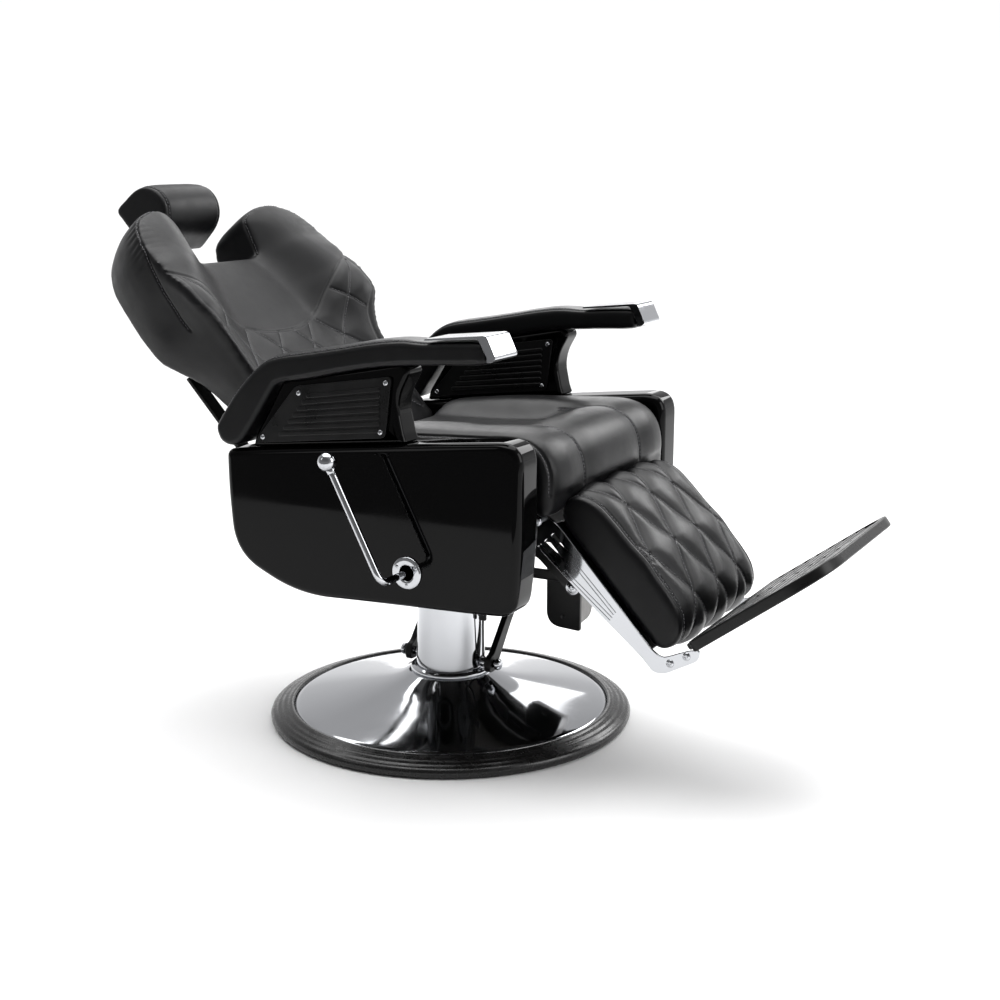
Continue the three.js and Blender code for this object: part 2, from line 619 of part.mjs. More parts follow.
function addFootplate() {
  const [heelY, heelZ, toeY, toeZ] = [-560, 268, -778, 428];
  const length = Math.hypot(toeY - heelY, toeZ - heelZ);
  const plate = new THREE.Group();
  plate.position.set(0, heelY, heelZ);
  plate.rotation.x = -Math.atan2(toeZ - heelZ, heelY - toeY);
  chair.add(plate);
  const rim = outline([[-FOOT_W, 0, 18], [FOOT_W, 0, 18], [FOOT_W, -length, 26], [-FOOT_W, -length, 26]], 20);
  const tread = new THREE.ExtrudeGeometry(rim, { depth: 12, bevelEnabled: false, curveSegments: 5 });
  const well = box(-FOOT_W + 10, FOOT_W - 10, -length + 10, -10, 8, 30);
  const ribs = [];
  for (let i = 0; i < 13; i++) {
    const y = -length + 24 + i * 18;
    ribs.push(box(-FOOT_W + 24, FOOT_W - 24, y, y + 8, 7, 11));
  }
  add("footplate", join(cut(tread, well), ...ribs), castIron(), plate);
}

addBase();
addPump();
addPedal();
addFrame();
for (const [name, side] of Object.entries(SIDES)) {
  addSidePanel(name, side);
  addArmrest(name, side);
}
addSeat();
addLever();
addBackrest();
addLegrest();

export default chair;
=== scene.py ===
import math

import bmesh
import bpy
import numpy as np
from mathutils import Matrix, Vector
from mathutils.bvhtree import BVHTree
from mathutils.geometry import delaunay_2d_cdt
from mathutils.kdtree import KDTree


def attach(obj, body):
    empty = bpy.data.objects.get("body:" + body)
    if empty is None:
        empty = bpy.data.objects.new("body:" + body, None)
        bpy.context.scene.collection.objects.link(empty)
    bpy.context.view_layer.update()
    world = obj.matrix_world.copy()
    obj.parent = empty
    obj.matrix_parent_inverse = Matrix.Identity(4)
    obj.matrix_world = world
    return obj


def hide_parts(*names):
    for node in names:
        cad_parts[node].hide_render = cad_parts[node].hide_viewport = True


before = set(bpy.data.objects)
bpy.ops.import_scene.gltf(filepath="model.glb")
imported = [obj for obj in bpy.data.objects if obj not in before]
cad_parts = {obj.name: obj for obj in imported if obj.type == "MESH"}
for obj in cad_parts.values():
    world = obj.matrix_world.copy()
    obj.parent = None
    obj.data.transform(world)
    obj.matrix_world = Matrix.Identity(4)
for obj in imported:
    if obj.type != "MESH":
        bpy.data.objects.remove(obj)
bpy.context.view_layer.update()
scene = bpy.context.scene
MM = 0.001
SIDES = {"right": -1, "left": 1}


# ------------------------------------------------------------------ materials
class Shader:
    """A Principled material and short ways to wire procedural nodes into it."""

    def __init__(self, name, color, rough, metal=0.0, **sockets):
        self.material = bpy.data.materials.new(name)
        self.material.use_nodes = True
        self.tree = self.material.node_tree
        self.bsdf = self.tree.nodes["Principled BSDF"]
        self.bsdf.inputs["Base Color"].default_value = (*color, 1)
        self.bsdf.inputs["Roughness"].default_value = rough
        self.bsdf.inputs["Metallic"].default_value = metal
        for socket, value in sockets.items():
            self.bsdf.inputs[socket.replace("_", " ")].default_value = value
        self.place = self.node("ShaderNodeTexCoord").outputs["Object"]

    def node(self, kind, links=None, **settings):
        made = self.tree.nodes.new(kind)
        for key, value in settings.items():
            setattr(made, key, value)
        for key, value in (links or {}).items():
            if isinstance(value, bpy.types.NodeSocket):
                self.tree.links.new(value, made.inputs[key])
            else:
                made.inputs[key].default_value = value
        return made

    def noise(self, scale, detail=3.0, rough=0.55, stretch=None):
        vector = self.place
        if stretch:
            vector = self.node("ShaderNodeMapping", {"Vector": vector, "Scale": stretch}).outputs[0]
        links = {"Vector": vector, "Scale": scale, "Detail": detail, "Roughness": rough}
        return self.node("ShaderNodeTexNoise", links).outputs["Fac"]

    def cells(self, scale, feature="F1"):
        links = {"Vector": self.place, "Scale": scale}
        return self.node("ShaderNodeTexVoronoi", links, feature=feature).outputs["Distance"]

    def remap(self, value, low, high, to_low, to_high):
        links = {"Value": value, "From Min": low, "From Max": high, "To Min": to_low, "To Max": to_high}
        return self.node("ShaderNodeMapRange", links).outputs["Result"]

    def math(self, operation, a, b):
        return self.node("ShaderNodeMath", {0: a, 1: b}, operation=operation).outputs[0]

    def blend(self, factor, a, b):
        made = self.node("ShaderNodeMix", data_type="RGBA")
        self.tree.links.new(factor, made.inputs[0])
        for index, value in ((6, a), (7, b)):
            if isinstance(value, bpy.types.NodeSocket):
                self.tree.links.new(value, made.inputs[index])
            else:
                made.inputs[index].default_value = (*value, 1)
        return made.outputs[2]

    def edges(self, low=0.52, high=0.62):
        """1 on the worn convex edges of a mesh, 0 elsewhere."""
        point = self.node("ShaderNodeNewGeometry").outputs["Pointiness"]
        return self.remap(point, low, high, 0, 1)

    def use(self, socket, value):
        self.tree.links.new(value, self.bsdf.inputs[socket])

    def bump(self, height, strength, distance, below=None):
        links = {"Height": height, "Strength": strength, "Distance": distance}
        if below is not None:
            links["Normal"] = below
        normal = self.node("ShaderNodeBump", links).outputs["Normal"]
        self.use("Normal", normal)
        return normal


def leather(name, dark, light, scale=620, rough=(0.34, 0.43)):
    """Fine-grained vinyl: pebbles with creases between them, soft pull marks, and scuffed high spots."""
    s = Shader(name, dark, 0.42)
    s.bsdf.inputs["Specular IOR Level"].default_value = 0.22
    tone = s.noise(9, 4)
    base = s.blend(s.remap(tone, 0.35, 0.68, 0, 1), dark, light)
    worn = s.math("MULTIPLY", s.edges(0.56, 0.74), s.remap(s.noise(70, 2), 0.4, 0.7, 0, 0.25))
    s.use("Base Color", s.blend(worn, base, tuple(2.6 * c for c in light)))
    pebble = s.remap(s.cells(scale, "DISTANCE_TO_EDGE"), 0.0, 0.22, 0, 1)
    fine = s.noise(scale * 1.7, 2)
    patch = s.noise(34, 3)
    spread = s.math("MULTIPLY", pebble, -0.04)
    s.use("Roughness", s.math("ADD", s.remap(patch, 0.3, 0.7, rough[0], rough[1]), spread))
    grain = s.math("ADD", pebble, s.math("MULTIPLY", fine, 0.5))
    low = s.bump(s.noise(38, 2, 0.45), 0.06, 0.0012)
    s.bump(grain, 0.16, 0.0002, low)
    return s.material


def polished(name, color=(0.52, 0.53, 0.55), rough=(0.035, 0.1)):
    """Chrome: faint smears in the gloss, polishing lines and small pits."""
    s = Shader(name, color, 0.06, 1.0)
    smear = s.noise(14, 5, 0.6)
    lines = s.noise(900, 2, 0.5, (1, 1, 0.05))
    s.use("Roughness", s.math("ADD", s.remap(smear, 0.35, 0.75, *rough), s.math("MULTIPLY", lines, 0.02)))
    s.use("Base Color", s.blend(s.remap(s.noise(5, 3), 0.3, 0.7, 0, 1), color, tuple(0.94 * c for c in color)))
    pits = s.remap(s.cells(260), 0.0, 0.06, 0, 1)
    s.bump(s.math("ADD", pits, s.math("MULTIPLY", smear, 2.0)), 0.04, 0.0002)
    return s.material


def ground(name, color, rough, stretch):
    """Turned or ground steel with fine directional marks."""
    s = Shader(name, color, rough, 1.0)
    marks = s.noise(240, 4, 0.7, stretch)
    s.use("Roughness", s.remap(marks, 0.3, 0.7, rough - 0.08, rough + 0.12))
    s.use("Base Color", s.blend(s.noise(30, 3), color, tuple(0.8 * c for c in color)))
    s.bump(marks, 0.12, 0.0002)
    return s.material


def painted(name, color, rough, grain=850, height=0.0002, strength=0.2, metal=0.0):
    """Powder coat, enamel or moulded plastic: orange peel, uneven gloss and rubbed edges."""
    s = Shader(name, color, rough, metal)
    s.bsdf.inputs["Specular IOR Level"].default_value = 0.24
    peel = s.noise(grain, 2, 0.5)
    patch = s.noise(18, 4)
    s.use("Roughness", s.remap(patch, 0.3, 0.7, rough - 0.06, rough + 0.1))
    light = tuple(min(1, 2.2 * c + 0.01) for c in color)
    base = s.blend(s.remap(patch, 0.3, 0.75, 0, 0.35), color, light)
    rubbed = s.math("MULTIPLY", s.edges(0.54, 0.7), s.remap(s.noise(120, 2), 0.42, 0.62, 0, 0.6))
    s.use("Base Color", s.blend(rubbed, base, tuple(min(1, 5 * c + 0.03) for c in color)))
    s.bump(peel, strength, height)
    return s.material


def gloss(name, color=(0.001, 0.001, 0.0011)):
    """Piano-black moulding: very slight waviness, hairline scratches and a little dust."""
    s = Shader(name, color, 0.05)
    s.bsdf.inputs["Specular IOR Level"].default_value = 0.13
    wave = s.noise(7, 2, 0.4)
    hairs = s.remap(s.noise(420, 3, 0.7, (0.08, 1, 0.5)), 0.66, 0.8, 0, 1)
    dust = s.remap(s.cells(330), 0.0, 0.05, 1, 0)
    s.use("Roughness", s.math("ADD", s.remap(wave, 0.3, 0.7, 0.03, 0.06), s.math("MULTIPLY", hairs, 0.05)))
    s.use("Base Color", s.blend(s.math("MULTIPLY", dust, 0.25), color, (0.012, 0.012, 0.0125)))
    s.bump(wave, 0.05, 0.0015)
    return s.material


def moulded_rubber(name, color, rough):
    """Rubber with a little dust lodged in it and an uneven moulded skin."""
    s = Shader(name, color, 0.5)
    dust = s.remap(s.noise(22, 5, 0.65), 0.45, 0.75, 0, 0.5)
    s.use("Base Color", s.blend(dust, color, tuple(1.8 * c + 0.003 for c in color)))
    s.use("Roughness", s.remap(s.noise(60, 3), 0.3, 0.7, rough[0], rough[1]))
    s.bump(s.math("ADD", s.noise(1400, 2), s.cells(500)), 0.08, 0.00015)
    return s.material


def stained_board(name):
    """Black-stained plywood: long grain and pores still showing through the stain."""
    s = Shader(name, (0.02, 0.018, 0.016), 0.6)
    rings = s.noise(26, 6, 0.6, (1, 0.08, 1))
    pores = s.noise(700, 2, 0.5, (1, 0.05, 1))
    grain = s.blend(s.remap(rings, 0.35, 0.65, 0, 1), (0.024, 0.02, 0.017), (0.013, 0.011, 0.01))
    s.use("Base Color", s.blend(s.remap(pores, 0.55, 0.7, 0, 0.5), grain, (0.006, 0.005, 0.0045)))
    s.use("Roughness", s.remap(rings, 0.3, 0.7, 0.5, 0.72))
    s.bump(pores, 0.3, 0.0003)
    return s.material


def twisted_thread(name, color):
    """Waxed thread with the twist of its plies."""
    s = Shader(name, color, 0.45)
    s.use("Base Color", s.blend(s.noise(500, 2), color, tuple(1.8 * c for c in color)))
    s.use("Roughness", s.remap(s.noise(300, 2), 0.3, 0.7, 0.35, 0.6))
    s.bump(s.noise(2600, 2, 0.5, (1, 1, 0.3)), 0.5, 0.0002)
    return s.material


LEATHER = leather("black_leatherette", (0.0026, 0.0026, 0.003), (0.0042, 0.0042, 0.0048))
BACK_LEATHER = leather("black_leatherette_back", (0.0042, 0.0042, 0.0048), (0.0062, 0.0062, 0.007), 560,
                       (0.4, 0.5))
CHROME = polished("chrome_plate")
STEEL = ground("ground_steel", (0.56, 0.57, 0.58), 0.3, (1, 1, 0.06))
PAINT = painted("black_powder_coat", (0.0035, 0.0035, 0.0035), 0.34)
ENAMEL = painted("black_enamel_cast_iron", (0.003, 0.003, 0.003), 0.28, 240, 0.0001, 0.05)
GLOSS = gloss("piano_black")
PLASTIC = painted("black_moulded_plastic", (0.0025, 0.0025, 0.0027), 0.3, 1300, 0.0001, 0.12)
RUBBER = moulded_rubber("moulded_rubber", (0.006, 0.0057, 0.0057), (0.2, 0.34))
# The pale grey of the pedal tread is painted light: it stands for the tread's lit front face next to the black
# lever plate, which is in shade.
PAINTED_LIT_RUBBER = moulded_rubber("rubber_painted_lit_grey", (0.19, 0.185, 0.18), (0.4, 0.6))
PLYWOOD = stained_board("stained_plywood")
# Painted sheen: the thread is given a light grey so the stitches show as the highlights along the seams.
THREAD_WITH_PAINTED_SHEEN = twisted_thread("stitching_thread_painted_sheen", (0.075, 0.075, 0.08))
CORD = leather("piping_vinyl", (0.009, 0.009, 0.01), (0.017, 0.017, 0.019), 900, (0.32, 0.46))


# ------------------------------------------------------------------ outlines and meshes
def unit(vector):
    return vector / np.linalg.norm(vector)


def lengths_along(points):
    """The distance run along a line at each of its points."""
    return np.r_[0, np.cumsum(np.linalg.norm(np.diff(points, axis=0), axis=1))]


def rounding(inner):
    """How far a quarter-round edge has dropped, from 1 at the rim (inner 0) to 0 (inner 1)."""
    return 1 - math.sqrt(max(0, 1 - (1 - inner) ** 2))


def both_sides(half):
    """A closed outline from its +X half, given as (a, b, cut)."""
    return half + [(-a, b, cut) for a, b, cut in half[::-1]]


def modify(piece, kind, name, **settings):
    made = piece.modifiers.new(name, kind)
    for key, value in settings.items():
        setattr(made, key, value)
    return made


def fillet(corners, radius=10.0, steps=6):
    """A closed polygon whose corners [a, b, cut] are rounded over "cut"."""
    points = [np.array(c[:2], float) for c in corners]
    made = []
    for i, corner in enumerate(points):
        before, after = points[i - 1], points[(i + 1) % len(points)]
        cut = corners[i][2] if len(corners[i]) > 2 else radius
        room = 0.49 * min(np.linalg.norm(before - corner), np.linalg.norm(after - corner))
        cut = min(cut, room)
        start = corner + unit(before - corner) * cut
        end = corner + unit(after - corner) * cut
        for t in np.linspace(0, 1, steps):
            made.append((1 - t) ** 2 * start + 2 * t * (1 - t) * corner + t * t * end)
    return np.array(made)


def resample(points, step, closed=False):
    points = np.asarray(points, float)
    if closed:
        points = np.vstack([points, points[:1]])
    lengths = lengths_along(points)
    count = max(3, round(lengths[-1] / step))
    at = np.linspace(0, lengths[-1], count + 1)
    made = np.stack([np.interp(at, lengths, points[:, k]) for k in range(points.shape[1])], 1)
    return made[:-1] if closed else made


def spline(points, step=3.0, closed=False):
    """A Catmull-Rom curve through the points, sampled evenly."""
    p = np.asarray(points, float)
    ends = (p[-1:], p[:2]) if closed else (2 * p[:1] - p[1:2], 2 * p[-1:] - p[-2:-1])
    q = np.vstack([ends[0], p, ends[1]])
    made = []
    for i in range(len(q) - 3):
        a, b, c, d = q[i:i + 4]
        for t in np.linspace(0, 1, 12, endpoint=False):
            made.append(0.5 * (2 * b + (c - a) * t + (2 * a - 5 * b + 4 * c - d) * t * t
                               + (3 * b - a - 3 * c + d) * t ** 3))
    if not closed:
        made.append(q[-2])
    return resample(made, step, closed)


def smoothstep(low, high, value):
    t = np.clip((np.asarray(value, float) - low) / (high - low), 0, 1)
    return t * t * (3 - 2 * t)


def table(pairs):
    """A linear lookup made from (at, value) pairs, flat past its ends."""
    at, values = np.array(pairs, float).T
    return lambda v: np.interp(v, at, values)


def mesh_piece(name, vertices, faces, material, smooth=True):
    """An object in the row frame from vertices in millimetres."""
    mesh = bpy.data.meshes.new(name)
    mesh.from_pydata((np.asarray(vertices, float) * MM).tolist(), [], [list(map(int, f)) for f in faces])
    mesh.validate()
    work = bmesh.new()
    work.from_mesh(mesh)
    bmesh.ops.remove_doubles(work, verts=work.verts, dist=1e-7)
    bmesh.ops.recalc_face_normals(work, faces=work.faces)
    work.to_mesh(mesh)
    work.free()
    if smooth:
        mesh.shade_smooth()
    mesh.materials.append(material)
    piece = bpy.data.objects.new(name, mesh)
    scene.collection.objects.link(piece)
    return piece


def bake(piece):
    """Applies the piece's modifiers."""
    evaluated = piece.evaluated_get(bpy.context.evaluated_depsgraph_get())
    mesh = bpy.data.meshes.new_from_object(evaluated)
    piece.modifiers.clear()
    piece.data = mesh
    return piece


def coordinates(piece):
    flat = np.zeros(len(piece.data.vertices) * 3)
    piece.data.vertices.foreach_get("co", flat)
    return flat.reshape(-1, 3) / MM


def set_coordinates(piece, points):
    piece.data.vertices.foreach_set("co", (points * MM).ravel())
    piece.data.update()


def soften(piece, width, segments=3, angle=35):
    """Eases the sharp edges, with flat faces that stay flat in the shading."""
    piece.data.shade_smooth()
    modify(piece, "BEVEL", "eased_edges", width=width * MM, segments=segments, limit_method="ANGLE",
           angle_limit=math.radians(angle), harden_normals=True, miter_outer="MITER_ARC")
    return piece


def prism(name, shape, low, high, material, place, edge=0.0, segments=3):
    """A flat outline made solid between two depths. place(a, b, depth) gives its points."""
    n = len(shape)
    vertices = [place(a, b, d) for d in (low, high) for a, b in shape]
    faces = [list(range(n))[::-1], list(range(n, 2 * n))]
    faces += [[i, (i + 1) % n, n + (i + 1) % n, n + i] for i in range(n)]
    piece = mesh_piece(name, vertices, faces, material)
    return soften(piece, edge, segments) if edge else piece


def rounded_block(name, shape, low, high, material, place, radius, steps=7):
    """An outline made solid between two depths, both rims rounded over the radius."""
    outline = resample(shape, 5.0, True)
    edges = np.roll(outline, -2, 0) - np.roll(outline, 2, 0)
    inward = np.stack([-edges[:, 1], edges[:, 0]], 1) / np.linalg.norm(edges, axis=1)[:, None]
    area = np.sum(outline[:, 0] * np.roll(outline[:, 1], -1) - outline[:, 1] * np.roll(outline[:, 0], -1))
    inward *= np.sign(area)
    turns = np.linspace(0, math.pi / 2, steps)
    levels = [(radius * (1 - math.sin(t)), low + radius * (1 - math.cos(t))) for t in turns]
    levels += [(inset, high + low - depth) for inset, depth in levels[::-1]]
    rings = [[place(a, b, depth) for a, b in outline + inward * inset] for inset, depth in levels]
    return even_shading(loft(name, rings, material))


def along_x(a, b, d):
    return (d, a, b)


def along_y(a, b, d):
    return (a, d, b)


def along_side(side):
    """Like along_x, mirrored to the right-hand side when side is -1."""
    return lambda a, b, d: (side * d, a, b)


def revolve(name, profile, material, place, segments=96, closed=False):
    """A profile [radius, height] turned about an axis. place(radius, angle, height) gives its points."""
    profile = np.asarray(profile, float)
    rows = len(profile)
    angles = np.linspace(0, 2 * np.pi, segments, endpoint=False)
    vertices = [place(r, t, h) for t in angles for r, h in profile]
    faces = []
    for i in range(segments):
        j = (i + 1) % segments
        for k in range(rows if closed else rows - 1):
            m = (k + 1) % rows
            faces.append([i * rows + k, j * rows + k, j * rows + m, i * rows + m])
    return mesh_piece(name, vertices, faces, material)


def about_z(r, t, h):
    return (r * math.cos(t), r * math.sin(t), h)


def about(axis, centre, facing=1):
    """Points turned about an X or Y axis through centre, heights counted along facing."""
    def place(r, t, h):
        a, b, c = r * math.cos(t), r * math.sin(t), facing * h
        offset = (c, a, b) if axis == "x" else (a, c, b)
        return tuple(np.array(centre, float) + offset)
    return place


def sweep(path, radius, sides=12):
    """Vertices and faces of a round rod that follows a path. radius is one number, or one per point."""
    path = np.asarray(path, float)
    tangents = np.gradient(path, axis=0)
    tangents /= np.linalg.norm(tangents, axis=1)[:, None]
    start = np.array([0, 0, 1.0]) if abs(tangents[0][2]) < 0.9 else np.array([1.0, 0, 0])
    side = np.cross(tangents[0], start)
    rings = []
    radii = np.broadcast_to(radius, len(path))
    for p, t, r in zip(path, tangents, radii):
        side = unit(side - t * side.dot(t))
        up = np.cross(t, side)
        angles = np.linspace(0, 2 * np.pi, sides, endpoint=False)
        rings.append(p + r * (np.cos(angles)[:, None] * side + np.sin(angles)[:, None] * up))
    vertices = np.vstack(rings)
    faces = []
    for i in range(len(path) - 1):
        for k in range(sides):
            m = (k + 1) % sides
            faces.append([i * sides + k, i * sides + m, (i + 1) * sides + m, (i + 1) * sides + k])
    faces.append(list(range(sides))[::-1])
    faces.append([len(vertices) - sides + k for k in range(sides)])
    return vertices, faces


def join(name, parts):
    """One piece from several, keeping each part's material. Modifiers are applied first."""
    work = bmesh.new()
    materials = []
    for part in parts:
        bake(part)
        material = part.data.materials[0]
        if material not in materials:
            materials.append(material)
        index = materials.index(material)
        for face in part.data.polygons:
            face.material_index = index
        work.from_mesh(part.data)
        bpy.data.objects.remove(part)
    mesh = bpy.data.meshes.new(name)
    work.to_mesh(mesh)
    work.free()
    for material in materials:
        mesh.materials.append(material)
    piece = bpy.data.objects.new(name, mesh)
    scene.collection.objects.link(piece)
    return piece


def carve(piece, tools):
    """Cuts the tools out of a piece."""
    for tool in tools:
        modify(piece, "BOOLEAN", "cut", object=bake(tool), operation="DIFFERENCE", solver="EXACT")
    bake(piece)
    for tool in tools:
        bpy.data.objects.remove(tool)
    return even_shading(piece)


def drop_custom_normals(piece):
    custom = piece.data.attributes.get("custom_normal")
    if custom:
        piece.data.attributes.remove(custom)


def even_shading(piece, angle=32):
    """Flat faces shaded flat beside rounded edges, after a cut."""
    drop_custom_normals(piece)
    piece.data.shade_smooth()
    piece.data.set_sharp_from_angle(angle=math.radians(angle))
    modify(piece, "WEIGHTED_NORMAL", "even_normals", mode="FACE_AREA", weight=100, keep_sharp=True)
    return piece


def place_on(piece, body, *nodes):
    """The piece rides on a body and stands for its CAD nodes, which are hidden."""
    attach(piece, body)
    if nodes:
        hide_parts(*nodes)
    return piece


# ------------------------------------------------------------------ upholstery
SEAM_STEP = 2.5
CLOTH_STIFFNESS = 18.0
CLOTH_FRAMES = 20


class Seam:
    """A sewn line on a cushion, given by points in millimetres near its surface.

    It is sunk by depth over width. A pinned seam holds the cover down while the panels beside it are
    filled. stitch gives the sideways offsets of its rows of thread, and cord the radius of its piping.
    """

    def __init__(self, points, depth, width, pin=True, stitch=None, cord=0.0):
        self.points = spline(points, SEAM_STEP)
        self.depth, self.width, self.pin = depth, width, pin
        self.stitch, self.cord = stitch, cord


def tree_of(piece):
    work = bmesh.new()
    work.from_mesh(piece.data)
    tree = BVHTree.FromBMesh(work)
    work.free()
    return tree


def snap(tree, points):
    """The nearest surface points and normals, in millimetres."""
    found = [tree.find_nearest(Vector(p) * MM) for p in points]
    spots = np.array([f[0] for f in found]) / MM
    return spots, np.array([f[1] for f in found])


def normals_of(piece):
    flat = np.zeros(len(piece.data.vertices) * 3)
    piece.data.vertices.foreach_get("normal", flat)
    return flat.reshape(-1, 3)


def distances(points, seams):
    """For each point, the distance to the nearest seam."""
    samples = [p for seam in seams for p in seam.points]
    tree = KDTree(len(samples))
    for k, p in enumerate(samples):
        tree.insert(p, k)
    tree.balance()
    return np.array([tree.find(p)[2] for p in points])


def remesh(piece, voxel, smooth):
    modify(piece, "REMESH", "remesh", mode="VOXEL", voxel_size=voxel * MM, use_smooth_shade=True)
    modify(piece, "SMOOTH", "relaxed", factor=0.5, iterations=smooth)
    return bake(piece)


def inflate(piece, held, pressure, cap):
    """Fills the cover by cloth pressure, moving no vertex past cap. held is each vertex's hold, 0 to 1."""
    rest = coordinates(piece)
    group = piece.vertex_groups.new(name="held")
    for level in (1.0, 0.6, 0.3):
        chosen = np.where((held <= level + 0.01) & (held > level - 0.31))[0]
        group.add([int(i) for i in chosen], level, "REPLACE")
    cloth = piece.modifiers.new("filling", "CLOTH")
    settings = cloth.settings
    settings.quality = 5
    settings.mass = 0.35
    settings.tension_stiffness = settings.compression_stiffness = settings.shear_stiffness = CLOTH_STIFFNESS
    settings.bending_stiffness = 0.8
    settings.use_pressure = True
    settings.uniform_pressure_force = pressure
    settings.vertex_group_mass = "held"
    settings.pin_stiffness = 1.0
    settings.effector_weights.gravity = 0.0
    cloth.collision_settings.use_collision = False
    cloth.point_cache.frame_start = 1
    cloth.point_cache.frame_end = CLOTH_FRAMES
    for number in range(1, CLOTH_FRAMES + 1):
        scene.frame_set(number)
    evaluated = piece.evaluated_get(bpy.context.evaluated_depsgraph_get())
    flat = np.zeros(len(evaluated.data.vertices) * 3)
    evaluated.data.vertices.foreach_get("co", flat)
    moved = flat.reshape(-1, 3) / MM - rest
    length = np.linalg.norm(moved, axis=1)
    share = np.where(length > 1e-6, np.tanh(length / cap) * cap / np.maximum(length, 1e-6), 0)
    piece.modifiers.remove(cloth)
    piece.vertex_groups.remove(group)
    set_coordinates(piece, rest + moved * share[:, None])
    scene.frame_set(1)


def upholster(piece, seams, voxel, puff, held, cap, pressure, smooth, ease=4):
    """Remesh, raise the panels between seams, fill by cloth, subdivide, and sew the seams in.

    puff(points) gives the rise and how far from a seam it is reached. held(points) gives the hold.
    """
    remesh(piece, voxel, smooth)
    tree = tree_of(piece)
    for seam in seams:
        seam.points, _ = snap(tree, seam.points)
    points, normals = coordinates(piece), normals_of(piece)
    pinned = [s for s in seams if s.pin]
    away = distances(points, pinned) if pinned else np.full(len(points), 99.0)
    if puff is not None:
        rise, reach = puff(points)
        set_coordinates(piece, points + normals * (rise * (1 - np.exp(-(away / reach) ** 1.6)))[:, None])
        modify(piece, "SMOOTH", "eased", factor=0.5, iterations=ease)
        points = coordinates(bake(piece))
    hold = np.maximum(np.where(away < 0.9 * voxel, 1.0, 0.0), held(points))
    inflate(piece, hold, pressure, cap)
    modify(piece, "SUBSURF", "divided", levels=1, render_levels=1)
    bake(piece)
    tree = tree_of(piece)
    for seam in seams:
        seam.points, seam.normals = snap(tree, resample(seam.points, SEAM_STEP))
    points, normals = coordinates(piece), normals_of(piece)
    for seam in seams:
        if not seam.depth:
            continue
        near = distances(points, [seam])
        sunk = seam.depth * np.clip(1 - (near / seam.width) ** 2, 0, 1) ** 2
        points = points - normals * sunk[:, None]
    set_coordinates(piece, points)
    piece.data.shade_smooth()
    tree = tree_of(piece)
    for seam in seams:
        seam.points, seam.normals = snap(tree, seam.points)
        seam.tree = tree
    return piece


def stitches(name, seams, length=4.6, pitch=6.4, radius=0.62, proud=0.2):
    """Thread stitches that lie along each stitched seam, at its offsets to either side."""
    ring = [(-0.5, 0.35), (-0.42, 0.8), (-0.25, 1.0), (0.25, 1.0), (0.42, 0.8), (0.5, 0.35)]
    vertices, faces = [], []
    for seam in seams:
        for shift in seam.stitch:
            line = resample(seam.points, 1.0)
            normal_at = resample(np.hstack([seam.points, seam.normals]), 1.0)[:, 3:]
            distance = lengths_along(line)
            for start in np.arange(3.0, distance[-1] - 3.0, pitch):
                i = int(np.argmin(abs(distance - start)))
                i = min(max(i, 2), len(line) - 3)
                along = unit(line[i + 2] - line[i - 2])
                out = unit(normal_at[i] - along * normal_at[i].dot(along))
                side = np.cross(along, out)
                spot, out, _, _ = seam.tree.find_nearest(Vector(line[i] + side * shift) * MM)
                out = np.array(out)
                out = unit(out - along * along.dot(out))
                side = np.cross(along, out)
                centre = np.array(spot) / MM + out * proud
                first = len(vertices)
                for at, size in ring:
                    dip = radius * (0.9 if abs(at) < 0.3 else 0.1)
                    for k in range(6):
                        angle = k * math.pi / 3
                        vertices.append(centre + along * at * length + out * (dip - radius * 0.3)
                                        + radius * size * (math.cos(angle) * side + math.sin(angle) * out))
                for row in range(len(ring) - 1):
                    for k in range(6):
                        m = (k + 1) % 6
                        a, b = first + row * 6, first + (row + 1) * 6
                        faces.append([a + k, a + m, b + m, b + k])
                faces.append([first + k for k in range(6)][::-1])
                faces.append([first + 30 + k for k in range(6)])
    return mesh_piece(name, vertices, faces, THREAD_WITH_PAINTED_SHEEN)


def piping(name, lines, radius=1.9, sink=0.6):
    """A sewn-in cord along each seam that has one."""
    vertices, faces = [], []
    for seam in lines:
        path = resample(seam.points - seam.normals * sink, 4.0)
        v, f = sweep(path, radius, 8)
        faces += [[k + len(vertices) for k in face] for face in f]
        vertices += list(v)
    return mesh_piece(name, vertices, faces, CORD)


def sew(body, prefix, seams):
    """Adds the threads and the piping of a cushion's seams as pieces on its body."""
    sewn = [s for s in seams if s.stitch]
    if sewn:
        place_on(stitches(prefix + "_stitching", sewn), body)
    corded = [s for s in seams if s.cord]
    if corded:
        place_on(piping(prefix + "_piping", corded, corded[0].cord), body)


def loft(name, sections, material):
    """A closed solid through rings of equal point counts."""
    rings = [np.asarray(s, float) for s in sections]
    n = len(rings[0])
    vertices = np.vstack(rings)
    faces = [list(range(n))[::-1], [len(vertices) - n + k for k in range(n)]]
    for i in range(len(rings) - 1):
        for k in range(n):
            m = (k + 1) % n
            faces.append([i * n + k, i * n + m, (i + 1) * n + m, (i + 1) * n + k])
    return mesh_piece(name, vertices, faces, material)


